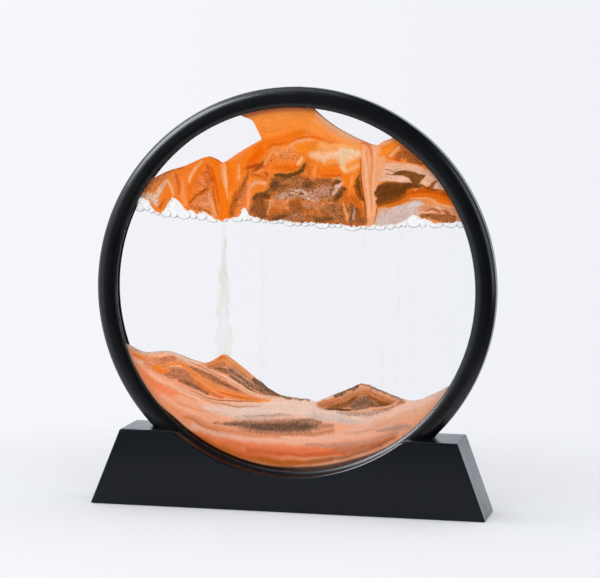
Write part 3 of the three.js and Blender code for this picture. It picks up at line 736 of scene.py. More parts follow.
bed_bands = [
    ((195, 88, 10), .02, [(-48, -66, 1.0), (-38, -69.8, 1.6), (-28, -73.5, 2.0), (-16, -76.5, 2.2), (-5, -78, 1.6),
                          (8, -77.5, 1.2), (18, -75.5, .8)]),
    ((242, 124, 72), .01, [(-42, -66, 1.4), (-32, -69.6, 2.4), (-20, -72, 3.0), (-8, -72.5, 3.0), (5, -72.5, 2.6),
                           (16, -71.5, 2.6), (28, -70.5, 2.4), (38, -67.5, 1.8), (46, -64, 1.2)]),
    ((222, 100, 45), .01, [(-20, -73.2, 1.2), (-5, -74.2, 1.2), (10, -74, 1.0), (24, -71.8, 1.2)]),
    ((250, 186, 158), .01, [(-45, -63, 1.2), (-34, -66, 1.6), (-22, -67.8, 1.6), (-8, -68, 1.6), (6, -67.3, 1.6),
                            (20, -65.3, 1.8), (32, -63, 1.8), (44, -58.5, 1.6)]),
    ((228, 140, 95), .02, [(-48, -58.5, .8), (-40, -62, 1.4), (-30, -64.6, 1.3), (-18, -65.8, 1.1), (-6, -66, .9)]),
    ((205, 130, 90), .10, [(-24, -63.8, .8), (-12, -64.8, .8), (0, -65, .7), (10, -64.2, .9), (18, -62.5, 1.0)]),
    ((236, 206, 190), .02, [(-40, -54.5, 1.4), (-28, -55.8, 2.8), (-14, -55, 3.6), (0, -53.6, 4.2), (12, -54.3, 3.4),
                            (24, -56.5, 2.4), (34, -57.5, 2.0)]),
    ((240, 202, 182), .02, [(-18, -51, .8), (-10, -51, 1.4), (-2, -51.2, 1.8), (8, -51.8, 2.0), (12, -52.6, 1.2)]),
    ((215, 185, 172), .03, [(-26, -58.5, 1.0), (-15, -58.4, 1.0), (-12, -58.2, .6)]),
    ((215, 188, 175), .03, [(10, -56, 1.6), (22, -57.5, 1.4), (30, -58.2, .8)]),
    ((186, 128, 98), .14, [(-36, -61, .4), (-28, -61.4, 1.2), (-18, -61.8, 2.0), (-8, -61.6, 2.6), (0, -61.4, 2.8),
                           (8, -60.8, 2.5), (13, -60.6, 1.6), (18, -60.2, .6)]),
    ((136, 98, 74), .20, [(-31, -61.3, .4), (-24, -61.6, 1.1), (-16, -62, 1.7), (-8, -61.8, 2.2), (0, -61.6, 2.3),
                          (7, -61, 2.0), (11, -60.4, 1.0)]),
    ((112, 80, 62), .22, [(-18, -62.2, .8), (-10, -62.3, 1.3), (-2, -62, 1.5), (5, -61.6, 1.2), (8, -61, .6)]),
    ((170, 122, 94), .26, [(0, -58.8, .4), (5, -58.4, .8), (9, -58, .8), (13, -58.8, .4)]),
    ((192, 136, 106), .10, [(-52, -46.5, .3), (-45, -49.5, .35), (-36, -52, .35), (-28, -53.2, .4), (-22, -53.3, .35),
                           (-15, -52.8, .25)]),
    ((206, 162, 138), .12, [(-22, -57.6, .3), (-15, -57.2, .7), (-9, -56.7, .8), (-5, -56.3, .7), (-1, -56.7, .3)]),
    ((252, 150, 100), .01, [(-72, -36, 1.5), (-68, -42, 2.2), (-63, -47, 3.0), (-57, -52, 3.0), (-52, -57, 2.2),
                           (-47, -61.5, 1.5)]),
    ((253, 138, 86), .01, [(-68, -41, 1.0), (-64, -44.6, 1.8), (-59, -47.5, 1.6), (-53, -49, 1.0)]),
    ((253, 186, 150), .01, [(-66, -40.4, .7), (-60, -43.6, .9), (-53, -46.5, 1.0), (-46, -50.2, 1.2),
                            (-38, -53.2, 1.2)]),
    ((253, 180, 142), .01, [(-60, -50.5, 1.0), (-53, -54, 1.4), (-46, -56.5, 1.2), (-38, -58, .8)]),
    ((240, 150, 104), .02, [(-58, -45.5, .5), (-50, -49, .5), (-44, -52, .4)]),
    ((240, 152, 108), .02, [(-52, -53, .6), (-45, -55, .5), (-38, -57, .4)]),
    ((215, 122, 72), .03, [(-49, -58.8, .5), (-42, -62.3, .6), (-34, -64.8, .5)]),
    ((241, 196, 174), .01, [(34, -56, 2.0), (44, -54, 2.4), (52, -50.5, 2.6), (60, -47.8, 2.0), (66, -44.5, 1.5),
                            (71, -40.5, 1.0)]),
    ((240, 176, 142), .01, [(34, -61, 1.0), (42, -57.5, 1.4), (50, -54.8, 1.8), (58, -52.5, 1.6), (64, -48.5, 1.4),
                            (67.5, -45, .9)]),
    ((241, 184, 156), .01, [(24, -62.6, 1.0), (32, -61, 1.2), (38, -59.6, 1.0)]),
    ((194, 146, 128), .05, [(38, -61.5, .6), (46, -59.8, 1.4), (52, -59, 1.0)]),
    ((228, 160, 126), .02, [(24, -64, .5), (34, -61.8, .5), (44, -57, .4)]),
    ((212, 150, 124), .03, [(6, -69.4, .6), (16, -69.4, 1.0), (28, -68.2, 1.2), (38, -65.5, 1.0), (47, -62, 1.0)]),
    ((206, 124, 84), .02, [(20, -71, 1.2), (30, -70, 1.4), (40, -67.2, .9)]),
    ((182, 106, 62), .03, [(8, -77, .8), (22, -74.6, .8), (34, -70.6, .7), (46, -64.6, .6)]),
    ((190, 154, 138), .14, [(20, -54.6, .4), (26, -54.8, .9), (33, -54.4, 1.1), (39, -53.4, .9), (44, -51.6, .4)]),
    ((228, 155, 115), .02, [(-77, -28.5, .8), (-72, -31.5, 1.2), (-66, -32.2, 1.0), (-60, -31.2, .9)]),
    ((240, 182, 148), .01, [(-72, -35, 1.0), (-68, -36.5, 1.4), (-64, -35, 1.2), (-60, -33.2, 1.0)]),
    ((238, 115, 35), .01, [(-73.5, -32, .5), (-70, -33.4, .8), (-66.5, -33.9, .6), (-63, -33.2, .5)]),
    ((168, 122, 96), .18, [(-74, -30.2, .3), (-69, -31.2, .35), (-64, -31.4, .3), (-58, -30.4, .3), (-54, -31, .3)]),
]
left_dune_bands = [
    ((226, 138, 92), .06, [(-66, -35, 3), (-50, -39, 6), (-32, -42, 7), (-17, -46.2, 3.6), (-9, -48, 1.2)]),
    ((242, 176, 140), .02, [(-66, -32.6, .9), (-58, -31.4, .8), (-52, -32.6, 1), (-45, -35.2, 1), (-38, -37.8, 1),
                            (-33, -40.2, .9), (-26, -44.2, .9), (-19, -47.4, .8), (-11, -49, .7)]),
    ((205, 122, 80), .12, [(-61, -33.6, .6), (-57.5, -33, 1.1), (-54.5, -33.2, .9)]),
    ((210, 126, 82), .08, [(-50, -33, .25), (-44, -35.4, .3), (-37, -38.4, .3), (-30, -42, .25)]),
    ((244, 126, 40), .01, [(-65, -37.4, .4), (-62.6, -37.8, 1.4), (-59.5, -38.4, 1.8), (-57, -39, 1)]),
    ((236, 140, 70), .02, [(-62, -36.4, .4), (-58, -35.6, .8), (-54, -34.9, .9), (-50.5, -35.8, .9)]),
    ((192, 118, 82), .14, [(-58, -40.6, .8), (-54.5, -39.6, 2), (-50.5, -40.2, 2.4), (-47, -42.4, 1.6)]),
    ((206, 126, 88), .08, [(-57, -41.8, .5), (-53, -41.6, .6)]),
    ((150, 94, 62), .18, [(-52.4, -42.8, .5), (-50, -43.4, .9), (-46.6, -44.8, 1.1), (-43, -46.4, .9),
                          (-39, -48.2, .6)]),
    ((246, 178, 134), .01, [(-60, -37.6, .3), (-57, -36.5, .4), (-54, -35.9, .45), (-51.4, -36.2, .5), (-47, -39, .5),
                            (-42, -42.8, .5), (-37, -46.4, .5), (-33, -48.8, .45)]),
    ((216, 112, 48), .04, [(-59, -36.9, .25), (-55, -35.5, .35), (-52, -35.2, .35), (-48, -37, .5)]),
    ((240, 132, 62), .01, [(-50, -36.8, .6), (-46, -39.2, 1), (-41, -42.4, 1.3), (-36, -45.4, 1.5), (-30, -48, 1.7),
                           (-23, -49.6, 1.5), (-16, -50.2, 1), (-11, -50.2, .5)]),
    ((226, 112, 46), .02, [(-46, -42.6, .6), (-42, -45, .9), (-37, -47.8, .9), (-32, -49.6, .7)]),
    ((246, 158, 96), .01, [(-44, -40.2, .3), (-38, -43.8, .35), (-32, -47, .3)]),
    ((214, 104, 42), .03, [(-33, -47.4, .35), (-27, -49, .45), (-20, -50, .4)]),
    ((158, 100, 64), .2, [(-47, -36.4, .3), (-43, -38, .8), (-38, -40.4, 1.1), (-33.4, -42.6, 1), (-29, -44.6, .7),
                          (-25, -46.4, .4)]),
    ((190, 116, 70), .08, [(-44, -38.8, .3), (-38, -41.8, .35), (-32, -44.6, .3)]),
    ((222, 132, 70), .06, [(-38.6, -35.6, .8), (-35, -33.6, 1.4), (-32, -32.2, 1.6), (-29, -33.6, 1.6),
                           (-25, -36.4, 1.2),
                           (-20.5, -39.8, .7)]),
    ((196, 118, 74), .14, [(-38.4, -36.6, .7), (-35, -35.2, 1.2), (-31.6, -34.8, 1.2)]),
    ((206, 106, 40), .04, [(-34.4, -32.6, .4), (-32.2, -31.7, .7), (-30.4, -32.4, .4)]),
    ((128, 82, 52), .2, [(-36, -36.7, .35), (-33.6, -36.6, .6), (-31, -37, .5)]),
    ((152, 106, 78), .28, [(-32, -37.6, .9), (-28, -38.4, 1.8), (-24, -40.6, 2), (-19, -43.4, 1.9), (-14, -45.8, 1.5),
                           (-9.5, -47.6, .8)]),
    ((190, 132, 96), .12, [(-30, -35.4, .5), (-25, -38, .6), (-20, -41.2, .5)]),
    ((238, 184, 152), .02, [(-39, -37.2, .4), (-33.4, -39.2, .5), (-27, -42.4, .5), (-21, -45.6, .5), (-15, -48, .6),
                            (-8, -49, .5)]),
    ((222, 172, 142), .04, [(-30, -38.4, .2), (-25, -41, .3), (-19, -44.6, .3), (-14, -47, .25)]),
    ((214, 160, 130), .04, [(-26.4, -37.8, .2), (-22, -40.4, .3), (-17.4, -43.2, .2)]),
    ((118, 82, 60), .3, [(-29, -40.2, .3), (-25.4, -42, .4), (-22, -43.8, .35), (-18, -45.8, .3)]),
    ((122, 92, 70), .35, [(-17, -42.2, .6), (-13, -43.6, 1), (-9.4, -46.2, .7)]),
    ((236, 160, 112), .02, [(-30.6, -32, .3), (-26, -35, .4), (-21.4, -38.4, .35), (-18.4, -40.8, .25)]),
    ((168, 104, 70), .12, [(-47, -47.4, .2), (-40, -49.8, .3), (-32, -51, .3), (-24, -51.2, .3), (-18, -50.9, .2)]),
    ((124, 94, 70), .35, [(-6, -48.2, .4), (-2, -48.3, .6), (2, -47.8, .8), (5, -48.6, .4)]),
]
right_dune_bands = [
    ((184, 118, 80), .12, [(13, -51, 2), (22, -49, 4), (32, -47, 5), (44, -48, 3), (50, -48, 1.5)]),
    ((226, 158, 118), .04, [(12, -49.6, .5), (18, -47.8, .9), (24, -45.6, 1), (30, -42.9, 1.1), (33, -42.5, 1.1),
                            (38, -44.8, 1.1), (44, -47, 1), (48, -47.6, .6)]),
    ((160, 104, 70), .16, [(18, -46.8, .3), (22, -45.6, .5), (26, -44, .4)]),
    ((198, 118, 68), .10, [(12.4, -51.2, .6), (16, -50.8, 1.2), (20, -50.4, 1.6), (24, -49.4, 1.8), (28, -46.6, 1),
                           (31, -44.8, .8), (34, -45, .8), (37, -46.4, 1), (41, -47.8, 1.2), (45, -48.4, .9)]),
    ((146, 88, 48), .16, [(17, -51.6, .7), (20.4, -51.2, 1), (24, -50.4, 1.2), (26.4, -48.6, 1), (28.6, -46.8, .5)]),
    ((142, 80, 34), .18, [(33.6, -46.2, .3), (36, -47.6, .7), (39, -49, .9), (42.4, -49.4, .7), (45, -49.4, .4)]),
    ((132, 95, 73), .22, [(26.6, -51.2, 1), (29, -49.6, 1.7), (32, -48.4, 2.2), (34.6, -49.2, 1.5), (36.6, -50, .7)]),
    ((150, 110, 88), .18, [(27, -52.4, .7), (31, -51.8, .9), (34, -51.2, .7)]),
    ((104, 62, 34), .22, [(14.6, -52.5, .3), (18, -52.8, .6), (22, -53, .7), (26, -52.9, .45)]),
    ((110, 66, 36), .22, [(35, -50.9, .25), (38.4, -50.3, .35), (42, -49.8, .3)]),
    ((230, 172, 138), .04, [(30, -53, .4), (36, -52, .5), (42, -50.8, .5), (46.4, -49.2, .5), (48.4, -47.8, .4)]),
    ((196, 128, 92), .10, [(36, -52.8, .3), (42, -51.6, .5), (46, -50.2, .4)]),
    ((216, 128, 78), .04, [(14, -49.7, .5), (18, -48.6, .6), (22, -47.4, .5)]),
    ((145, 112, 92), .28, [(18, -46, .4), (22, -44.4, .7), (25.6, -43.3, .7), (27.6, -43, .3)]),
    ((150, 112, 90), .28, [(35, -42.8, .3), (38, -43.6, .5), (41, -44.2, .4)]),
    ((190, 168, 152), .14, [(40, -44, .5), (43, -44.4, .6), (46, -45.6, .6), (48.5, -46.6, .4)]),
]
# For each strip: colour, share of dark grains, where it starts and ends, and its depth, in mm.
crest_strips = [
    ((222, 198, 184), .04, -78, -40, .9), ((240, 152, 92), .03, -37, -29, .6), ((236, 150, 98), .03, -30, -19, .8),
    ((128, 98, 78), .5, -18, -7, 1.3), ((160, 134, 114), .4, -7, 8, .9), ((232, 205, 190), .05, 8, 18, .6),
    ((146, 110, 86), .5, 19, 29, 1.4), ((200, 130, 85), .12, 29, 35, .7), ((172, 142, 124), .4, 35, 49, 1.1),
    ((222, 196, 182), .06, 50, 72, .8),
]


def cell_edge(start, end, steps):
    """Points in mm on the edge of the sand, between two angles in degrees."""
    turns = np.radians(np.linspace(start, end, steps))
    return [(sand_edge * math.cos(t), sand_edge * math.sin(t)) for t in turns]


def inside_cell(line):
    """The stretch of a line inside the cell."""
    return [tuple(p) for p in line if math.hypot(*p) < sand_edge]


def bearing(point):
    """The angle of a point about the frame's axis, in degrees."""
    return math.degrees(math.atan2(point[1], point[0]))


inside = inside_cell(fallen_surface)
bed_outline = [*cell_edge(bearing(inside[0]), bearing(inside[-1]), 240), *inside[::-1][1:-1]]
points, triangles = sand_sheet(bed_outline, 0.5, -54.0, 0.3)
under = height_on(fallen_surface, points[:, 0]) - points[:, 1]
crest_bands = [
    (tone, share, [(x, float(height_on(fallen_surface, x)) - 0.5 * depth, 0.5 * depth)
                   for x in np.linspace(start, end, 10)])
    for tone, share, start, end, depth in crest_strips
]
# Painted shade: the sand's colours are darkened along the bottom of the opening, where the lip of the front ring keeps
# the light off it.
turn = np.degrees(np.arctan2(points[:, 1], points[:, 0])) % 360
shade_from = np.interp(turn, [215, 228, 262, 275, 290, 312], [82.5, 80.2, 80.1, 79.3, 79.5, 82])
shade = np.clip((np.hypot(points[:, 0], points[:, 1]) - shade_from) / 0.8 + 0.3, 0, 1)
shade *= np.interp(turn, [215, 225, 262, 275, 300, 314], [0, 0.9, 0.9, 0.65, 0.5, 0])
front, rear = (plain_sand(len(points), (248, 172, 134), 0.0) for side in range(2))
for side, shift, seed in ((front, 0.0, 11), (rear, 1.5, 31)):
    lay_sand(points[:, 0] + shift, points[:, 1], side, bed_bands, 1.6, 0.35, 0.03, seed)
    lay_sand(points[:, 0] + shift, points[:, 1], side, left_dune_bands + right_dune_bands, 0.8, 0.3, 0.08, seed)
    lay_sand(points[:, 0], points[:, 1], side, crest_bands, 0.6, 1.0, 0.05, seed)
    # Both sides take the painted shade of the ring's lip.
    side[0][:] *= 1 - shade[:, None]
    side[1][:] *= 1 - shade
crest = -0.5 * np.clip(1 - under / 3, 0, 1)
middles = points[triangles].mean(1)
on_left, on_right = (
    (middles[:, 1] > height_on(foot, middles[:, 0])) & (middles[:, 0] > start) & (middles[:, 0] < end)
    for foot, start, end in ((left_dune_foot, -68.5, -4), (right_dune_foot, 11, 53)))
for name, kept, node, slot in (
    ("sand_bed", ~on_left & ~on_right, "lower_sand_bed", "pale_sand"),
    ("sand_dune_left", on_left, "left_dune", "brown_sand"),
    ("sand_dune_right", on_right, "right_dune", "brown_sand"),
):
    sand_piece(name, points, triangles, kept, front, rear, crest, node)

# Hanging sand: what still rests on the row of bubbles after a turn, in three banks.
# Between them it runs down through two necks, which draw it into smooth vertical streaks.
# The middle bank has a smooth cap against the rim, orange swirls under it and a large brown speckled patch.
hanging_underside = flowing_line([
    (-84, 42), (-72, 39), (-68, 37.8), (-65.6, 34.2), (-62.4, 32.2), (-60, 34), (-57.6, 37.4), (-55.6, 38.8),
    (-53, 37), (-50.2, 33.4), (-47.6, 33.8), (-44.8, 32.6), (-41.6, 32.8), (-36.4, 30.2), (-33, 29.8), (-29, 31),
    (-26.4, 31.4), (-24.8, 35), (-23.2, 35), (-21, 32.4), (-17.6, 31.4), (-14.6, 30.2), (-9, 30.3), (0, 29.7),
    (14, 29.6), (25, 29), (36, 29.2), (42.6, 30), (47.5, 31), (50.4, 33.8), (53.6, 34.2), (57, 32.8), (61, 31.8),
    (67, 31.2), (73, 32.2), (84, 34),
], 12)
hanging_underside = [(x, h + (0.4 * waver_at(x, 0, 2.3, 41) + 0.3 * waver_at(x, 0, 0.9, 42)))
                     for x, h in hanging_underside]
hanging_top_left = flowing_line([(-34, 81), (-25.7, 76.6), (-21, 74.8), (-18.8, 71.5), (-16.2, 66.4)])
hanging_slope_left = flowing_line([
    (-16.2, 66.4), (-26, 60.6), (-33.5, 55.6), (-36.8, 56.8), (-40.5, 58), (-44.1, 56.9), (-51.4, 53.6),
    (-58.7, 51.2), (-66, 47.6), (-73, 45.6), (-84, 46),
])
hanging_slope_right = flowing_line([
    (52, 73), (42.2, 68.4), (38.6, 67), (34.5, 65), (27.9, 67.2), (20.7, 70.5), (13.5, 74.8), (6.2, 80.8), (1, 86),
])
left_neck = ([(-70, 90), (-39, 60), (-37.5, 45), (-35.8, 31), (-35, 20)],
             [(-45, 90), (-24, 62.2), (-26.5, 45), (-30.4, 31), (-31.5, 20)])
right_neck = ([(27, 90), (28.7, 50), (31.3, 30), (32, 20)], [(43.5, 90), (37.5, 50), (35.6, 30), (35, 20)])
smooth_bands = [
    ((212, 122, 72), .10, [(-73, 40, 2.5), (-67, 44.5, 3), (-62, 48.5, 2.2), (-57, 51, 1.4)]),
    ((196, 98, 42), .06, [(-64, 49, .7), (-57, 51.6, .8), (-52, 53, .6)]),
    ((240, 124, 42), .01, [(-55, 50, 2), (-51, 45, 3), (-50, 38, 2.5)]),
    ((228, 190, 168), .14, [(-70, 39.5, 1.2), (-66.5, 39.5, 1.9), (-64, 37, 1.7)]),
    ((234, 194, 174), .12, [(-59.3, 46.5, .8), (-61.8, 43.5, 1.1), (-63.8, 39.5, 1.2), (-64.6, 36, 1)]),
    ((245, 124, 32), .01, [(-58.2, 43.2, .9), (-58.4, 40, 1.8), (-60.5, 37, 1.4), (-62, 34, 1)]),
    ((208, 96, 24), .04, [(-60, 38.5, .5), (-62, 34.5, .7)]),
    ((246, 180, 138), .02, [(-58.4, 47.4, .6), (-56.7, 43.4, .7), (-55.9, 41, .6)]),
    ((226, 138, 86), .06, [(-56.2, 50.2, .5), (-55.5, 46, .5)]),
    ((198, 90, 22), .04, [(-54.7, 50, .4), (-54, 46, .8), (-53.3, 41.5, .4)]),
    ((248, 150, 86), .01, [(-51.8, 47, .7), (-51.6, 41, 1.1), (-50.5, 36, .9)]),
    ((246, 116, 16), .01, [(-49.4, 46, .6), (-48.6, 42, .9), (-49, 36.5, .7)]),
    ((251, 172, 114), .01, [(-49.2, 46.5, .4), (-48.2, 49.4, .8), (-46, 53, .8), (-43.6, 56, .5)]),
    ((246, 110, 12), .01, [(-47.6, 44.5, .8), (-45.6, 49.5, .8), (-42.4, 55, .9)]),
    ((218, 108, 48), .16, [(-40.4, 53.5, .9), (-41, 50, 2.8), (-42, 46, 3.6), (-41.5, 43, 2.2)]),
    ((204, 82, 14), .10, [(-40.3, 55, .6), (-39.2, 51.5, .8), (-38.4, 47.5, 1.1)]),
    ((238, 136, 78), .08, [(-43.8, 48.2, 1.2), (-42, 45.5, 1)]),
    ((250, 142, 62), .02, [(-43.6, 44, .9), (-41.8, 43.4, .5)]),
    ((228, 136, 82), .12, [(-46, 37.4, 1.4), (-42, 37.6, 2.6), (-40.3, 41, 1.4)]),
    ((242, 156, 112), .03, [(-42.6, 37.2, .8), (-40.6, 37, .7)]),
    ((206, 118, 62), .22, [(-48.5, 35.4, .8), (-44, 34.4, 1), (-39.6, 33, 1)]),
    ((186, 82, 18), .16, [(-48.8, 37.2, .5), (-45.5, 40.4, .7), (-42.8, 42, .8), (-41, 43.4, .5)]),
    ((236, 166, 128), .05, [(-39.6, 42, .6), (-38.3, 37, 1.1), (-36.6, 32.2, 1)]),
    ((247, 118, 12), .01, [(-34, 57, 4.6), (-32.5, 48, 4.2), (-32, 36, 2.8), (-32, 30, 2.4)]),
    ((228, 94, 4), .02, [(-38.6, 53, .7), (-36.4, 45, .9), (-35, 38, .7)]),
    ((188, 92, 32), .10, [(-38.2, 44.5, .4), (-36.7, 38, .4), (-35.3, 32, .4)]),
    ((250, 168, 116), .01, [(-34.3, 54.5, .7), (-33.6, 50, .9), (-32.4, 45, .7)]),
    ((252, 190, 148), .01, [(-33, 54.6, .6), (-32.5, 50, .7), (-31.6, 44, .6), (-31, 40, .3)]),
    ((252, 152, 76), .01, [(-29.4, 43, .5), (-30.4, 39.5, .7)]),
    ((206, 88, 6), .05, [(-27.4, 43, .5), (-29, 36, .8), (-29.6, 32, .7)]),
    ((247, 148, 88), .01, [(-31, 57, 1.2), (-26, 59.8, .9), (-20, 63.8, .5), (-17, 65.5, .4)]),
    ((253, 150, 66), .00, [(-20, 74.5, 2.5), (-8, 76, 5), (2, 76.5, 5), (10, 73, 4), (18, 69, 3), (25, 66.5, 1.6)]),
    ((252, 142, 54), .00, [(-18, 71, 2.5), (-14, 69.5, 3.4), (-6, 71.5, 3), (2, 73, 2)]),
    ((246, 160, 108), .00, [(9, 76, 1.5), (16, 71.5, 2.2), (22, 68.5, 1.9), (27, 66.6, 1.2)]),
    # Painted shade of the front ring's lip along the top edge of the cap.
    ((214, 124, 82), .02, [(-26, 76.4, 1.2), (-12, 79.8, 1.3), (0, 80.6, 1.2), (6, 79.8, 1)]),
    ((224, 172, 142), .04, [(8, 78.6, .8), (15, 73.1, .7), (22, 69, .7), (28, 66.8, .5)]),
    ((248, 118, 16), .01, [(-25, 52, 1.4), (-23, 57, 1.8), (-19, 61, 2.6), (-14, 64, 2), (-6, 67, 1.8),
                           (2, 69.6, 1.4)]),
    ((242, 98, 2), .01, [(-21.5, 56.6, 1.4), (-19, 58.6, 2.2), (-17.3, 61.6, 1.8)]),
    ((250, 166, 108), .01, [(-26.9, 54.6, .5), (-26.4, 51, .7), (-26.6, 48.4, .5)]),
    ((186, 68, 4), .10, [(-23, 53.2, .7), (-18.6, 54.2, 1.5), (-14.8, 55, 1.0)]),
    ((176, 92, 34), .16, [(-22.5, 51.6, .6), (-23.4, 47.6, 1.0), (-25, 44.4, 1.2), (-26.8, 39.6, 1.4), (-28.4, 35, 1.3),
                          (-29, 32.6, 1.0)]),
    ((216, 122, 62), .16, [(-23.4, 44, 1), (-24.6, 40, 1.3), (-25.6, 36.4, 1)]),
    ((244, 152, 102), .02, [(-21.6, 47, .7), (-21.5, 42, 1), (-21.7, 37, 1), (-21.2, 33.5, .8)]),
    ((214, 104, 30), .10, [(-20.6, 50.4, .9), (-17, 50.6, 1.1), (-14.4, 49.6, 1)]),
    ((243, 172, 132), .04, [(-20.6, 44.6, .7), (-19, 47, 1.1), (-16.4, 47.4, 1), (-14.6, 47.2, .8)]),
    ((246, 130, 44), .01, [(-20.4, 41, .5), (-18.6, 43.6, .8), (-16, 44.7, .9), (-13.6, 44.6, .8)]),
    ((240, 134, 68), .03, [(-18.6, 51.4, .5), (-15.4, 53, .7)]),
    ((232, 122, 46), .08, [(-13.6, 55, 1.4), (-12, 58, 1.8), (-8, 57.6, 2), (-3, 57.6, 2), (1, 60, 1.6)]),
    ((240, 144, 84), .10, [(-11.4, 61, 1.8), (-7, 60.4, 2.4), (-3, 60.6, 2.2)]),
    ((249, 152, 88), .02, [(-14.4, 55.6, .6), (-13.3, 58.5, .8), (-11.8, 61.4, .6)]),
    ((250, 156, 98), .03, [(-6, 62.4, .6), (-3, 63.6, .8), (-.5, 62.4, .6)]),
    ((228, 104, 10), .05, [(-9.6, 53.8, 1.1), (-6, 54.2, 1.4), (-2, 54.2, 1.4), (.4, 54.9, .9)]),
    ((247, 136, 34), .01, [(1, 63, 1.8), (4, 63.4, 2), (7.4, 62.6, 1.8), (9.6, 64.4, 1.4)]),
    ((249, 168, 112), .02, [(-3.4, 64.5, .6), (0, 65.7, .8), (4, 66.5, .8), (7.4, 66.6, .5)]),
    ((216, 92, 12), .06, [(-13.6, 62.6, .4), (-11.6, 64, .5), (-8, 64.3, .45), (-4.6, 65.2, .3), (2, 67.6, .3),
                          (8, 68.3, .4), (11, 67.2, .4), (14, 66.2, .4), (19, 65.8, .35), (26, 65, .3)]),
    ((224, 112, 34), .10, [(4.4, 57, 1.2), (5, 54, 1.2), (5.6, 51.6, 1)]),
    ((248, 178, 128), .02, [(6, 60, 1.4), (10, 60.2, 2.6), (15, 60.6, 3), (19, 60.6, 3), (23, 60.4, 3.6),
                            (27, 61, 2.2)]),
    ((249, 160, 88), .01, [(10, 64.6, 1.6), (16, 64.4, 1.8), (22, 65.2, 1.4), (27, 65, 1.2)]),
    ((250, 192, 142), .01, [(1.8, 59.4, .4), (1.8, 58, .7), (.9, 56.8, .8), (.2, 55.6, .4)]),
    ((248, 144, 74), .02, [(8.6, 55, .7), (7.6, 52, .9), (7, 48.6, .8)]),
    ((200, 88, 10), .10, [(10, 54.2, .25), (9.6, 51.6, .3)]),
    ((248, 166, 98), .01, [(10.4, 64.6, .9), (14, 64, 1.3), (18, 63.6, 1)]),
    ((248, 190, 146), .02, [(6.6, 60, .9), (9.8, 59.4, 1.7), (12.4, 57.6, 1.3)]),
    ((247, 196, 160), .02, [(13.4, 59.4, 1.1), (15.6, 60.6, 1.6), (18, 61, 1.5)]),
    ((250, 154, 72), .01, [(12.6, 55.8, 1.1), (15.6, 57, 1), (17.6, 57.4, .6)]),
    ((252, 122, 18), .01, [(11, 52.6, 1.2), (14, 53, 1.6), (17.5, 53.2, 1.6), (19.5, 53.4, 1), (20.6, 51, .8)]),
    ((230, 96, 6), .04, [(11, 50.8, .6), (15, 51.1, .6), (19, 51.3, .5)]),
    ((242, 202, 164), .05, [(19.4, 63.2, 1), (21, 61.5, 2.3), (23.6, 61, 2.6), (26.6, 61.6, 1.6)]),
    ((248, 204, 162), .03, [(19.8, 59, 2), (20.6, 56.4, 1.8), (21.3, 53.4, 1.1)]),
    ((250, 180, 120), .01, [(22.2, 53.4, .8), (25, 54.6, 1.2), (27.2, 56, 1)]),
    ((251, 156, 66), .01, [(22.2, 55, .4), (24, 56.4, .8), (26.4, 57.9, .7), (27.6, 58.4, .3)]),
    ((248, 122, 22), .01, [(21.8, 51, 1.1), (22.8, 48, 1.2), (23.2, 45.4, .9)]),
    ((249, 152, 88), .01, [(25.2, 51, .6), (24.3, 48, .6), (23.8, 45.6, .4)]),
]
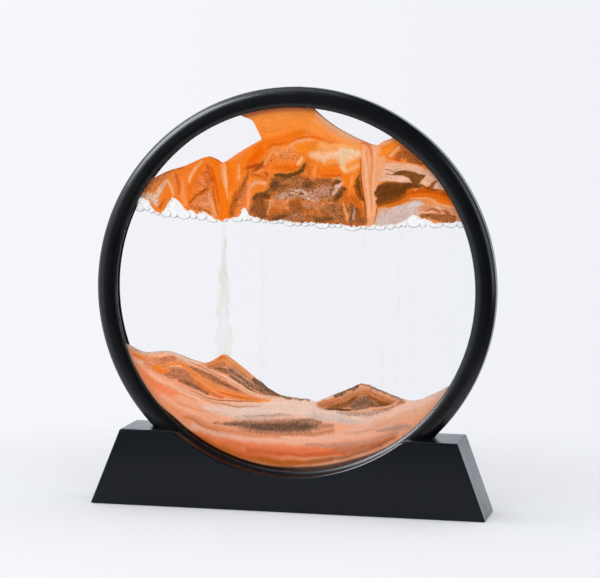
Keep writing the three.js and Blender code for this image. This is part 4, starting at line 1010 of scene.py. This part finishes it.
speckled_bands = [
    ((174, 100, 52), .24, [(-19, 33, 3), (-14, 34, 5), (-6, 33, 5.4), (2, 33, 5.6), (10, 34, 6), (18, 34, 6),
                           (25, 33.5, 6),
                           (30, 31.5, 2.5)]),
    ((168, 98, 50), .26, [(-12, 43.5, 2), (-9, 44.5, 4), (-4, 46, 4.6), (2, 45.5, 5), (8, 44.5, 4.4), (14, 44.5, 4.6),
                          (19, 44, 3)]),
    ((146, 74, 16), .12, [(-20.7, 51.7, .3), (-18.6, 52.9, .55), (-16.8, 54.2, .6), (-15.6, 55.8, .55),
                          (-15.2, 56.8, .3)]),
    ((186, 88, 24), .20, [(-14.4, 52, .7), (-13.4, 50.6, .7)]),
    ((150, 84, 38), .22, [(-18.6, 36, 2), (-16.6, 38.6, 3), (-15.4, 34.4, 2.8)]),
    ((106, 66, 28), .26, [(-18.9, 40.4, .8), (-17, 42, 1.2), (-14.5, 42, 1.5), (-12.3, 41.2, 1)]),
    ((130, 80, 40), .24, [(-16.4, 33, 1), (-14.6, 32, .8)]),
    ((150, 86, 40), .26, [(-11.5, 45, 1.8), (-9.5, 47.4, 2.4), (-6, 48.4, 2.8), (-1, 49, 2.8), (3.5, 48.4, 2.6),
                          (6, 46, 2)]),
    ((100, 64, 24), .24, [(-9.4, 50.2, .6), (-5, 51, .8), (-1, 51.4, 1), (1.5, 52.6, 1.2), (2.8, 54.8, .8),
                          (3.2, 56.2, .4)]),
    ((190, 116, 64), .24, [(-6, 47.8, 1.4), (-2, 48.4, 1.8), (2, 48, 1.8)]),
    ((112, 70, 32), .24, [(-10.6, 45.6, 1.3), (-9, 46.8, 1.2)]),
    ((124, 78, 40), .26, [(3, 46, 1), (5, 46.4, 1.3), (6.2, 47.8, 1), (5.4, 45, 1)]),
    ((196, 132, 94), .22, [(-9, 40.4, 1.6), (-4, 42.4, 2.6), (2, 43.2, 2.8), (7, 42, 2.8), (12, 43, 3), (16, 45, 2.2)]),
    ((166, 96, 50), .28, [(10, 48.4, 1), (13, 48.2, 1.2), (16, 48.2, 1.4), (18.4, 48.6, 1)]),
    ((202, 142, 112), .20, [(8.6, 43.6, 1.6), (11.6, 44.6, 2.1), (14.4, 44.4, 1.6), (15.4, 46.6, 1)]),
    ((206, 156, 128), .18, [(-7.6, 41, 1), (-4.6, 42.3, 1.5), (-1, 42.8, 1.7), (2, 43.6, 1.8), (4.6, 42.6, 1.6),
                            (7, 41.2, 1.5), (9, 40, 1)]),
    ((216, 174, 154), .05, [(-.6, 44.3, .5), (2.4, 45, .6), (4.2, 43.6, .6)]),
    ((218, 176, 156), .05, [(4.4, 41.4, .5), (7, 39.9, .6), (8.4, 39, .5)]),
    ((222, 156, 132), .06, [(-5, 38.6, .6), (-3.8, 39.9, .5)]),
    ((108, 54, 34), .20, [(1.7, 42.8, .6), (2.8, 43.2, .5)]),
    ((128, 72, 56), .20, [(-3, 42, .5), (-2.3, 42, .4)]),
    ((112, 68, 42), .24, [(16.2, 47.2, .6), (17.2, 47.6, .4), (18.2, 48.4, .6)]),
    ((150, 82, 46), .24, [(14.9, 43, .7), (14.9, 45, .6)]),
    ((224, 184, 170), .03, [(16, 42.8, .5), (17.4, 45, .8), (18.8, 46.8, .9), (19.9, 48.2, .5)]),
    ((204, 152, 112), .10, [(15.4, 49, .35), (17.5, 50, .5), (19.9, 49.5, .4)]),
    ((108, 66, 24), .24, [(17.2, 40.4, 1.2), (18.6, 41.8, 1.8), (20.2, 43.6, 1.5), (21.1, 45.6, .8)]),
    ((192, 132, 94), .16, [(15.6, 40.6, .6), (15, 38.6, .8)]),
    ((228, 134, 70), .12, [(-11, 37.4, 1.4), (-7.6, 37.2, 2.1), (-4.4, 37, 1.7)]),
    ((214, 108, 40), .12, [(-12, 33.6, 1), (-9, 35, 1.3), (-6, 34.8, 1.1)]),
    ((218, 172, 138), .06, [(-12.5, 37.2, .5), (-11.6, 39, .8), (-10.4, 39.3, .6)]),
    ((234, 150, 94), .04, [(-13, 33.5, .5), (-12.7, 35.6, .6), (-12.3, 37, .5)]),
    ((164, 90, 36), .18, [(-2.4, 38.4, 1.3), (0, 39, 1.8), (1.6, 37.4, 1.6), (0, 35.8, 1.4)]),
    ((122, 74, 36), .26, [(-10.4, 31.6, .9), (-6, 32, .9), (-3.6, 33, .7)]),
    ((176, 116, 86), .22, [(-2.6, 31.4, .9), (0, 32.8, 1.4), (2, 31.8, 1)]),
    ((212, 134, 86), .16, [(3.6, 38, 1.3), (6, 37.6, 1.8), (9, 37.2, 1.8), (12, 38, 1.2)]),
    ((204, 116, 52), .18, [(4, 34.4, 1.3), (7, 35.3, 1.4), (10.4, 34.4, 1.4)]),
    ((126, 78, 40), .26, [(8.6, 31.6, .9), (12, 31.2, 1), (15.4, 32, 1.1)]),
    ((184, 114, 66), .24, [(14.4, 37, 1.6), (17.4, 36, 2), (18.6, 33, 2)]),
    ((160, 98, 50), .24, [(16, 38.4, .8), (17.6, 34.4, .8)]),
    ((210, 104, 34), .08, [(21.4, 43.6, 1.1), (22.5, 40.6, 1.4), (22.8, 37.8, .9)]),
    ((242, 154, 94), .02, [(20.6, 39.2, .4), (21.5, 36.2, .7), (22.5, 33.4, .9), (23, 31.6, .7)]),
    ((128, 80, 46), .24, [(24.8, 38.2, .7), (24.5, 35, .6), (24.8, 32, .7)]),
    ((204, 98, 22), .10, [(25, 41.6, 1.5), (27.4, 39.6, 1.4), (28.6, 36.4, 1.2), (29.2, 33, 1)]),
    ((186, 146, 122), .16, [(25.7, 36.8, .4), (25.6, 34.4, .6), (25.4, 32.4, .5)]),
    ((150, 84, 36), .28, [(27, 36, 1), (27.6, 33, 1.3), (29.6, 31, 1.1)]),
    ((146, 74, 14), .18, [(27.9, 52.6, .3), (27.3, 49.6, .9), (26.9, 46.6, 1.3), (27.3, 43.6, 1), (28.8, 41, .6)]),
    ((114, 58, 14), .20, [(28, 50, .5), (27.8, 46.5, .8), (28.4, 43.6, .6), (29.6, 41, .5)]),
]
clean_bands = [
    ((230, 152, 108), .06, [(54, 37, 4), (60, 36, 5), (66, 36, 6), (74, 36, 6)]),
    ((218, 184, 170), .08, [(36, 30, 3), (40, 32, 5), (45, 33.5, 5.5), (50, 35.5, 5), (54, 38, 3.6)]),
    ((204, 100, 22), .06, [(37.6, 42, 3), (41, 42, 4.6), (46, 43.5, 4), (52, 45, 2.6), (60, 44.4, 2.6),
                           (70, 43.5, 3.4)]),
    ((239, 190, 164), .02, [(37.6, 53, 4), (44, 53.6, 4.4), (52, 52.6, 4.6), (58, 50.6, 4), (64, 47.6, 3)]),
    ((243, 164, 116), .01, [(33, 66, 4.6), (33, 52, 4.4), (33.4, 40, 2.8), (33.6, 30, 2.2)]),
    ((246, 166, 116), .01, [(35.4, 64, 1.6), (37.6, 58.6, 1.8), (37, 52, 1)]),
    ((251, 184, 140), .00, [(29.2, 64, .4), (30, 60, .7), (31, 52, .7), (32.5, 40, .6), (33, 33, .5)]),
    ((229, 140, 94), .00, [(32.8, 64, .35), (33.2, 55, .4), (33, 45, .4), (33.6, 36, .3)]),
    ((250, 178, 132), .00, [(34.4, 63, .5), (34.6, 54, .6), (34.4, 44, .5), (34.6, 34, .4)]),
    ((216, 118, 72), .05, [(28.6, 66, .5), (31, 65.8, .8), (32.6, 63.6, .7), (32.9, 60.6, .35)]),
    ((128, 68, 24), .14, [(28.3, 59, .2), (28.5, 54, .25), (29.1, 47, .4), (30.2, 41, .4), (31.2, 35, .35),
                          (31.6, 30.5, .3)]),
    ((150, 84, 36), .12, [(36.9, 46, .25), (36.3, 40, .35), (35.9, 34, .3), (35.5, 30, .2)]),
    ((240, 170, 122), .02, [(35, 65, 1.2), (38, 66.2, 1.3), (41, 67.6, 1.4), (44.6, 69.4, 1.4)]),
    ((253, 140, 36), .00, [(36.6, 60.4, .8), (38.6, 62.2, 1.3), (41, 63.8, 1.5), (43.8, 66, .9), (45, 66.9, .5)]),
    ((246, 168, 114), .01, [(41.2, 60.4, .7), (43.4, 62.6, .8), (46, 64.8, .6)]),
    ((178, 96, 42), .18, [(44.8, 61, 1.4), (47.5, 61.3, 1.9), (50.5, 60.6, 2), (54, 59.6, 1.6)]),
    ((200, 112, 66), .10, [(46.8, 64.4, .9), (50, 62.9, .9), (53, 61, .7)]),
    ((196, 86, 14), .06, [(43.2, 59.6, .6), (45.2, 59, .7)]),
    ((172, 90, 28), .12, [(49.4, 58.5, .7), (52, 57.9, .7), (56, 57.2, .7)]),
    ((218, 122, 76), .05, [(46.4, 59.5, .4), (47.6, 58.8, .5)]),
    ((240, 160, 120), .02, [(39.4, 58.3, .4), (44, 57.8, .3), (48, 57.4, .3)]),
    ((158, 98, 64), .10, [(38.6, 54.6, .2), (40.6, 54.5, .3), (42.4, 53.8, .25), (44.4, 53.5, .4)]),
    ((176, 118, 90), .10, [(42.5, 54, .12), (44.5, 55, .2), (46.6, 55.1, .15)]),
    ((146, 86, 48), .10, [(38.8, 52.8, .15), (41, 52.4, .3), (43.4, 52.5, .4), (45.4, 52.9, .6)]),
    ((118, 66, 22), .14, [(43.4, 52.8, .3), (45.5, 53.3, .9), (48.5, 53.3, 1.4), (51.4, 52.3, 1.9), (54, 51, 2),
                          (56, 51.9, 1),
                          (57.2, 52.4, .4)]),
    ((126, 70, 20), .14, [(51.6, 50, 1.1), (53.6, 49, 1.1), (55.2, 48.2, .8), (57.4, 47.6, .5)]),
    ((154, 76, 22), .08, [(55.2, 51, .9), (56.6, 51.8, .5)]),
    ((241, 192, 168), .01, [(37.4, 49.5, .5), (39, 50.4, .7), (43, 51, .75), (47, 50.9, .7), (50, 49.8, .4),
                            (51.6, 48.9, .2)]),
    ((198, 128, 98), .05, [(37.2, 49, .15), (37.8, 50.6, .2), (38.7, 51.2, .2), (43, 50.7, .12), (46, 50.6, .1)]),
    ((98, 54, 18), .14, [(36.6, 43.6, 2), (38.4, 45.4, 2.8), (40.8, 46.2, 2.9), (44, 46.7, 2.7), (48, 47.2, 1.9),
                         (51.5, 47.9, 1.1), (54.6, 47.6, .7)]),
    ((106, 58, 18), .16, [(36.4, 40, 1.4), (38.4, 41.4, 2.2), (41.4, 42.6, 2.2), (45, 44, 1.9), (48, 45.2, 1.2)]),
    ((136, 78, 28), .08, [(38.6, 47.6, .5), (41, 48.6, .5), (44, 48.8, .4), (48, 48.5, .3)]),
    ((158, 78, 16), .12, [(36.6, 38.6, .8), (39.4, 39.4, .9), (43, 40.6, .9), (46.6, 42, 1.1), (48.8, 43.6, .8)]),
    ((224, 112, 26), .04, [(39, 38, .8), (43, 39.2, .8), (47, 40.7, .9), (49.6, 42.5, .9)]),
    ((206, 88, 8), .04, [(50.4, 44.4, 1), (53.5, 45.6, 1.2), (56.5, 46.4, 1.3), (59.5, 45.2, 1.2), (63, 45, 1.4),
                         (66.5, 44.6, 1.6),
                         (69, 42.6, 1.6)]),
    ((230, 108, 18), .02, [(50, 43, .8), (54, 43.6, 1), (59, 43.5, 1), (64, 43, 1.1), (69.5, 41, 1.2)]),
    ((146, 72, 18), .08, [(58.6, 46.8, .9), (60.1, 47.6, 1.1), (60.8, 49, 1), (61.8, 50, .6), (62.6, 50, .3)]),
    ((150, 72, 14), .08, [(57.4, 47.2, .4), (61, 46, .7), (63.5, 46.2, .3)]),
    ((226, 184, 168), .01, [(62.7, 48.3, .8), (65, 47.8, .9)]),
    ((236, 172, 132), .01, [(52.6, 46, .3), (54, 46.7, .3)]),
    ((247, 162, 108), .01, [(51, 42, .5), (55, 42.3, .6), (59, 42.2, .7), (62, 41.3, .8), (66, 39.5, 1),
                            (70, 37.6, 1.2)]),
    ((240, 116, 26), .02, [(63, 42, .8), (67, 41, 1), (70.4, 39.6, .8)]),
    ((214, 188, 178), .07, [(38, 31, 1.6), (42, 33.6, 3.2), (46, 35, 3.4), (50, 36.6, 3.2), (53.5, 38.4, 2.4),
                            (55.4, 39.8, 1.2)]),
    ((224, 168, 138), .10, [(37.4, 36.4, 1), (39.8, 36.8, 1.1), (41.4, 36.2, .7)]),
    ((230, 194, 174), .03, [(43, 37.4, .6), (45.2, 38.2, .5)]),
    ((226, 206, 196), .03, [(50.6, 38.4, .9), (53, 39.8, 1), (55.4, 39, 1)]),
    ((188, 118, 82), .12, [(49.4, 41.2, .25), (51.5, 41.6, .25), (54, 41.5, .2), (57.2, 40.4, .2)]),
    ((228, 152, 108), .08, [(56, 37.4, 1.5), (60, 38, 2), (65, 37, 2.6), (70.5, 35.6, 2.4)]),
    ((166, 96, 50), .24, [(56.4, 34.4, .9), (60, 34.8, 1.1), (62.5, 34, 1.6), (66, 33.4, 2), (70, 33.4, 1.8)]),
    ((180, 100, 50), .12, [(58, 36.8, .3), (60, 38, .5), (62, 37.6, .7), (64, 36.3, .6)]),
    ((172, 96, 56), .16, [(64.8, 38.3, .5), (66.5, 36.8, .9), (68, 35.5, .9)]),
    ((248, 194, 160), .01, [(62.3, 38.8, .35), (64, 38.5, .5), (66, 37.8, .35)]),
    ((248, 194, 160), .01, [(56, 35.9, .3), (58.5, 36.2, .3), (61, 36.6, .4)]),
]
low_line, right_line, top_line, left_line = map(
    inside_cell, (hanging_underside, hanging_slope_right, hanging_top_left, hanging_slope_left))
hanging_outline = [
    *low_line,
    *cell_edge(bearing(low_line[-1]), bearing(right_line[0]), 80),
    *right_line,
    *cell_edge(bearing(right_line[-1]), bearing(top_line[0]), 60),
    *top_line,
    *left_line[1:],
    *cell_edge(bearing(left_line[-1]), bearing(low_line[0]), 30),
]
points, triangles = sand_sheet(hanging_outline, 0.36)
front, rear = (plain_sand(len(points), (243, 128, 44), 0.03) for side in range(2))
for side, shift, seed in ((front, 0.0, 51), (rear, -1.0, 71)):
    lay_sand(points[:, 0] + shift, points[:, 1], side, smooth_bands, 1.4, 0.6, 0.05, seed)
    lay_sand(points[:, 0] + shift, points[:, 1], side, speckled_bands, 0.9, 1.0, 0.05, seed)
    lay_sand(points[:, 0] + shift, points[:, 1], side, clean_bands, 0.4, 0.25, 0.04, seed)
above = points[:, 1] - height_on(hanging_underside, points[:, 0])
thin = grain_chance(points[:, 0], points[:, 1], 81) > 0.2 + above / 0.8
for colour, dark in (front, rear):
    colour[thin], dark[thin] = (250, 247, 244), 0.0
level = np.zeros(len(points))
middles = points[triangles].mean(1)


def side_of(edge):
    """How far the middles of the triangles lie to the right of a neck's edge."""
    edge = np.array(edge)[::-1]
    return middles[:, 0] - np.interp(middles[:, 1], edge[:, 1], edge[:, 0])


edges = [side_of(edge) > 0 for edge in (*left_neck, *right_neck)]
for name, kept, node, slot in (
    ("sand_bank_left", ~edges[0], "upper_sand_left", "orange_sand"),
    ("sand_neck_left", edges[0] & ~edges[1], "left_sand_funnel", "pale_sand"),
    ("sand_bank_middle", edges[1] & ~edges[2], "upper_sand_middle", "orange_sand"),
    ("sand_neck_right", edges[2] & ~edges[3], "right_sand_funnel", "pale_sand"),
    ("sand_bank_right", edges[3], "upper_sand_right", "orange_sand"),
):
    sand_piece(name, points, triangles, kept, front, rear, level, node)

# Bubbles: a row of air bubbles that holds the sand up, flattened between the panes.
# They look white, with a painted glow that stands for light scattered in them, and with a thin grey line of painted
# shade underneath where they curve away. There is foam above them in the notches.
# For each bubble: its middle, its lowest point and its width, in mm.
bubble_places = [
    (-71.6, 32.5, 3.3), (-68.2, 33.0, 2.4), (-66.1, 31.9, 2.5), (-63.4, 31.1, 2.6), (-59.4, 30.3, 4.2),
    (-55.9, 30.1, 2.9), (-51.2, 29.7, 5.6), (-46.9, 30.0, 2.9), (-43.2, 29.5, 4.3), (-38.0, 28.7, 5.0),
    (-33.2, 29.0, 3.6), (-26.9, 29.2, 4.5), (-23.4, 29.6, 2.2), (-21.6, 29.9, 2.0), (-18.4, 29.2, 4.4),
    (-14.4, 29.2, 2.4), (-10.3, 28.8, 4.0), (-7.2, 29.0, 2.4), (-3.1, 28.0, 4.2), (0.6, 28.1, 2.6), (3.9, 28.1, 3.2),
    (6.8, 28.5, 2.0), (11.6, 27.4, 6.1), (16.2, 27.9, 2.4), (18.9, 27.8, 2.6), (25.1, 26.8, 7.8), (30.2, 27.5, 1.9),
    (33.2, 27.6, 3.9), (37.7, 27.5, 4.3), (42.2, 28.0, 3.4), (45.6, 28.8, 2.9), (48.2, 29.1, 1.8), (52.4, 29.2, 6.1),
    (56.6, 29.4, 2.7), (62.4, 29.3, 5.8), (68.8, 29.5, 5.8), (73.4, 29.6, 3.0),
]
bubble_depth = 1.75
bubble_edge = 0.3
bubble_white = (254, 254, 254)
# Share of painted glow mixed into the white of bubbles and foam.
painted_bubble_glow = 0.4
line_by_step = (0, 1, 1, 1, 0.6, 0)
bubble_overlap = 0.6
foam_gap, foam_shift, foam_height = 0.8, 0.8, 2.2
foam_widths = (2.0, 3.0)


def bubble(x, low, width, height):
    """Points, faces and lines of one bubble: round at its edge, flat on the panes, with a line of painted shade along
    its underside.
    """
    around_steps, over_steps = 28, 10
    points, lines = [], []
    for i in range(over_steps + 1):
        lift = math.pi * (i / over_steps - 0.5)
        inwards = bubble_edge * (1 - math.cos(lift))
        depth = (bubble_depth - bubble_edge) * (1 if lift > 0 else -1 if lift < 0 else 0) + bubble_edge * math.sin(lift)
        for k in range(around_steps):
            turn = 2 * math.pi * k / around_steps
            points.append(((x + (width / 2 - inwards) * math.cos(turn)) * mm, depth * mm,
                           (low + height / 2 + (height / 2 - inwards) * math.sin(turn)) * mm + frame_height))
            # Share of painted shade along the underside, for the grey line.
            lines.append(min(max(0.5 - 1.2 * math.sin(turn), 0), 1) * line_by_step[abs(i - over_steps // 2)])
    faces = tube_faces(over_steps + 1, around_steps)
    faces.append(tuple(range(around_steps))[::-1])
    faces.append(tuple(range(over_steps * around_steps, (over_steps + 1) * around_steps)))
    return points, faces, lines


bubble_points, bubble_faces, bubble_lines, bubble_kinds = [], [], [], []
chance = random.Random(5)
for x, low, width in bubble_places:
    room = float(height_on(hanging_underside, x)) + bubble_overlap - low
    stack = [(x, low, width, min(max(room, 0.5 * width), 0.55 * width + 0.8))]
    while stack[-1][1] + stack[-1][3] < room + low - foam_gap:
        last = stack[-1]
        stack.append((x + chance.uniform(-foam_shift, foam_shift), last[1] + 0.75 * last[3],
                      chance.uniform(*foam_widths), foam_height))
    for number, place in enumerate(stack):
        points, faces, lines = bubble(*place)
        bubble_faces += [tuple(i + len(bubble_points) for i in face) for face in faces]
        bubble_kinds += [min(number, 1)] * len(faces)
        bubble_points += points
        bubble_lines += lines
bubbles = new_piece("bubbles", bubble_points, bubble_faces, 60)
bubbles.data.attributes.new("painted_edge_shade", "FLOAT", "POINT").data.foreach_set("value", bubble_lines)
bubbles.data.polygons.foreach_set("material_index", bubble_kinds)


def white_air(name, outlined):
    """A bubble or foam full of air: white with a painted glow, a little see-through and cloudy, with a grey line of
    painted shade under an outlined one.
    """
    finish, tree = see_through_finish(name)
    # Painted glow: an emission mixed into the white, standing for light that scatters in the air.
    bright = add_node(tree, "ShaderNodeEmission", {"Color": linear(*bubble_white), "Strength": 1.0}).outputs[0]
    white = layer(tree, painted_bubble_glow, matt(tree, *bubble_white), bright)
    curved = add_node(tree, "ShaderNodeLayerWeight", {"Blend": 0.5}).outputs["Facing"]
    thick = spread(tree, curved, 0.95, 0.1, 0.2, 0.6)
    veil = spread(tree, cloud(tree, place_on(tree), 500.0, 3.0), 0.55, thick, 0.3, 0.7)
    body = layer(tree, reckon(tree, "MINIMUM", veil, thick), clear(tree), white)
    if outlined:
        drawn = add_node(tree, "ShaderNodeAttribute", attribute_name="painted_edge_shade").outputs["Fac"]
        # Painted shade: a grey line under the bubble where its edge curves away.
        body = layer(tree, reckon(tree, "MULTIPLY", drawn, 0.7), body, matt(tree, 72, 74, 78))
    show(tree, body)
    return finish


bubbles.data.materials.append(white_air("air_bubble", True))
bubbles.data.materials.append(white_air("air_foam", False))
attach(bubbles, "contents")
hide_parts("bubble_layer")

# Falling sand: a thin stream from the left neck to the peak of the left dune, and fainter threads beside it.
# The grains fall loosely, so each stream is thin, uneven and see-through, and wanders a little on its way.
# For each stream: place and height of its top and of its foot, half width and density at both, and its colour.
streams = [
    ("stream_main", -33.2, 28.0, -32.4, -31.0, 0.7, 3.8, 0.34, 0.17, (220, 202, 170)),
    ("stream_left", -14.6, 27.0, -15.6, -43.0, 0.5, 2.2, 0.07, 0.06, (212, 202, 194)),
    ("stream_middle", 31.0, 25.5, 31.0, 15.0, 0.3, 0.3, 0.10, 0.04, (190, 180, 178)),
    ("stream_right", 39.8, 2.0, 39.2, -44.0, 0.4, 0.8, 0.03, 0.06, (196, 186, 186)),
    ("stream_outer", 46.6, 27.5, 46.0, -41.0, 0.5, 0.8, 0.05, 0.04, (196, 186, 188)),
]


def falling_grains(name, top, low, dense_above, dense_below, colour):
    """A loose column of pale grains between two heights, thicker in its middle and in clots along its fall."""
    finish, tree = see_through_finish(name)
    place = place_on(tree)
    drawn_out = add_node(tree, "ShaderNodeMapping", {"Vector": place, "Scale": (1.0, 1.0, 0.22)}).outputs[0]
    clots = spread(tree, cloud(tree, drawn_out, 320.0, 5.0), 0.0, 1.0, 0.3, 0.7)
    core = add_node(tree, "ShaderNodeAttribute", attribute_name="stream_core").outputs["Fac"]
    height = add_node(tree, "ShaderNodeSeparateXYZ", {"Vector": place}).outputs["Z"]
    density = spread(tree, height, dense_above, dense_below, top, low)
    share = reckon(tree, "MULTIPLY", reckon(tree, "MULTIPLY", clots, core), density)
    show(tree, layer(tree, share, clear(tree), matt(tree, *colour)))
    return finish


stream_rows, stream_sides, stream_depth = 90, 16, 1.5
for number, (name, x_top, top, x_low, low, narrow, broad, dense_above, dense_below, colour) in enumerate(streams):
    points, cores = [], []
    for row in range(stream_rows + 1):
        share = row / stream_rows
        height = top + (low - top) * share
        sway = 0.5 * waver_at(height, 7 * number, 9.0, 91) + 0.3 * waver_at(height, 0, 3.0, 92 + number)
        wide = (narrow + (broad - narrow) * share) * (1 + 0.35 * waver_at(height, 3, 4.0, 95 + number))
        deep = min(wide, stream_depth)
        for k in range(stream_sides):
            turn = 2 * math.pi * k / stream_sides
            x = x_top + (x_low - x_top) * share + sway + wide * math.cos(turn)
            points.append((x * mm, deep * math.sin(turn) * mm, height * mm + frame_height))
            outward = Vector((math.cos(turn) / wide, math.sin(turn) / deep)).normalized()
            cores.append(min(max((abs(outward.y) - 0.15) / 0.75, 0), 1))
    faces = tube_faces(stream_rows + 1, stream_sides, (0, 3, 2, 1))
    faces.append(tuple(range(stream_sides)))
    faces.append(tuple(range(stream_rows * stream_sides, (stream_rows + 1) * stream_sides))[::-1])
    stream = new_piece(name, points, faces, 60)
    stream.data.attributes.new("stream_core", "FLOAT", "POINT").data.foreach_set("value", cores)
    stream.data.materials.append(falling_grains(
        name + "_grains", top * mm + frame_height, low * mm + frame_height, dense_above, dense_below, colour))
    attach(stream, "contents")
    if name == "stream_main":
        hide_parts("falling_sand")

# Liquid: clear water with a little of the finest dust afloat, in the parts of the cell with no sand.
# It shows what is behind it, very slightly dimmed, with the dust drawn out into faint upright streaks.
liquid, tree = see_through_finish("clear_liquid")
drift = add_node(tree, "ShaderNodeMapping", {"Vector": place_on(tree), "Scale": (1.0, 1.0, 0.12)}).outputs[0]
dust = spread(tree, cloud(tree, drift, 160.0, 6.0), 0.0, 0.012, 0.5, 0.8)
show(tree, layer(tree, dust, clear(tree, {"Color": (0.998, 0.999, 1.0, 1)}), matt(tree, 225, 215, 205)))
for node in ("liquid_middle", "liquid_top_left", "liquid_top_right"):
    refinish(node, liquid)

# Table and backdrop: a plain pale table top that fades into a white background, as in a small photo studio.
# The table keeps the soft shadow of the stand; further out it clears, so no edge or horizon shows.
floor_rings, floor_sides, floor_radius = 24, 96, 0.9
fade_from, fade_to = 0.12, 0.32
floor_points = [(0.0, 0.0, 0.0)]
for ring_number in range(1, floor_rings + 1):
    for k in range(floor_sides):
        turn = 2 * math.pi * k / floor_sides
        radius = floor_radius * ring_number / floor_rings
        floor_points.append((radius * math.cos(turn), radius * math.sin(turn), 0.0))
floor_faces = [(0, 1 + k, 1 + (k + 1) % floor_sides) for k in range(floor_sides)]
floor_faces += [tuple(1 + i for i in face) for face in tube_faces(floor_rings, floor_sides, (0, 3, 2, 1))]
table = new_piece("table", floor_points, floor_faces)
table_white, tree, shader = new_finish("table_white")
place = place_on(tree)
table_far = add_node(tree, "ShaderNodeVectorMath", {0: place}, operation="LENGTH").outputs["Value"]
table_grain = cloud(tree, place, 900.0, 3.0)
feed(tree, shader, {
    "Base Color": tint(tree, table_grain, linear(250, 250, 252), linear(252, 252, 254)),
    "Roughness": spread(tree, table_grain, 0.85, 0.95),
    "Specular IOR Level": 0.0,
})
table_fade = spread(tree, table_far, 0.0, 1.0, fade_from, fade_to, interpolation_type="SMOOTHSTEP")
show(tree, layer(tree, table_fade, shader.outputs[0], clear(tree)))
table.data.materials.append(table_white)

world = bpy.data.worlds.new("studio")
bpy.context.scene.world = world
world.use_nodes = True
sky = world.node_tree
sky.nodes.clear()
ray = add_node(sky, "ShaderNodeLightPath").outputs
way = add_node(sky, "ShaderNodeTexCoord").outputs["Generated"]
part = add_node(sky, "ShaderNodeSeparateXYZ", {"Vector": way}).outputs


def backdrop(colour, strength):
    """The backdrop in one colour and strength."""
    return add_node(sky, "ShaderNodeBackground", {"Color": colour, "Strength": strength}).outputs[0]


sideways = spread(sky, part["X"], 0.0, 1.0, -0.30, -0.05)
seen = backdrop(tint(sky, sideways, linear(248, 248, 252), linear(239, 241, 246)), 1.0)
to_left = spread(sky, part["X"], 0.05, 1.1, -0.1, -0.75, interpolation_type="SMOOTHSTEP")
to_rear = spread(sky, part["Y"], 0.0, 1.0, 0.74, 0.95, interpolation_type="SMOOTHSTEP")
mirrored = backdrop(linear(236, 243, 252), reckon(sky, "ADD", to_rear, to_left))
lighting = backdrop(linear(240, 243, 248), 0.76)
clear_ray = reckon(sky, "MAXIMUM", ray["Is Camera Ray"], ray["Is Transmission Ray"])
add_node(sky, "ShaderNodeOutputWorld", {
    "Surface": layer(sky, clear_ray, layer(sky, ray["Is Glossy Ray"], lighting, mirrored), seen)})

# Studio light: large soft boxes on the left, on the right and above draw the broad soft lines on the black plastic.
# Two plain lamps, above the left and in front, light the sand and the table, and don't show on the plastic.
lamp_aim = Vector((0, 0, 0.1))


def soft_box(name, place, width, height, power, in_gloss):
    """A lamp that faces the frame, and shows either in gloss only or on matt surfaces only."""
    lamp = bpy.data.lights.new(name, "AREA")
    lamp.shape = "RECTANGLE"
    lamp.size, lamp.size_y, lamp.energy = width, height, power
    lamp.color = (0.92, 0.97, 1.0) if in_gloss else (1.0, 1.0, 1.0)
    box = bpy.data.objects.new(name, lamp)
    box.location = place
    box.rotation_euler = (lamp_aim - Vector(place)).to_track_quat("-Z", "Y").to_euler()
    box.visible_glossy = in_gloss
    box.visible_diffuse = not in_gloss
    bpy.context.scene.collection.objects.link(box)


soft_box("box_left", (-0.85, -0.35, 0.87), 0.95, 0.70, 24.0, True)
soft_box("box_right", (1.0, 0.05, 0.45), 0.8, 0.9, 4.6, True)
soft_box("box_top", (-0.25, 0.0, 1.25), 0.9, 0.7, 3.2, True)
soft_box("lamp_left", (-0.75, -0.18, 0.85), 0.7, 0.7, 1.0, False)
soft_box("lamp_front", (0.05, -1.25, 0.95), 1.5, 1.2, 10.0, False)

# Camera: as far away and as high as the photograph's, on the right of the middle, with its slight tilt.
# It has a long lens with no shift, and all is in focus.
camera_aim, camera_away = Vector((0.00193, 0, 0.098273)), 1.24494
camera_data = bpy.data.cameras.new("camera")
camera_data.sensor_width = 36.0
camera_data.lens = 167.807
camera = bpy.data.objects.new("camera", camera_data)
bpy.context.scene.collection.objects.link(camera)
camera_turn, camera_lift, camera_tilt = map(math.radians, (10.458, 5.237, 1.052))
camera_back = Vector((math.sin(camera_turn) * math.cos(camera_lift), -math.cos(camera_turn) * math.cos(camera_lift),
                      math.sin(camera_lift)))
level_right = Vector((math.cos(camera_turn), math.sin(camera_turn), 0))
level_up = camera_back.cross(level_right)
camera_right = level_right * math.cos(camera_tilt) + level_up * math.sin(camera_tilt)
camera_up = level_up * math.cos(camera_tilt) - level_right * math.sin(camera_tilt)
camera_place = camera_aim + camera_back * camera_away
camera.matrix_world = Matrix([
    (camera_right[i], camera_up[i], camera_back[i], camera_place[i]) for i in range(3)
] + [(0, 0, 0, 1)])
bpy.context.scene.camera = camera
bpy.context.scene.view_settings.view_transform = "Standard"
bpy.context.scene.cycles.transparent_max_bounces = 32
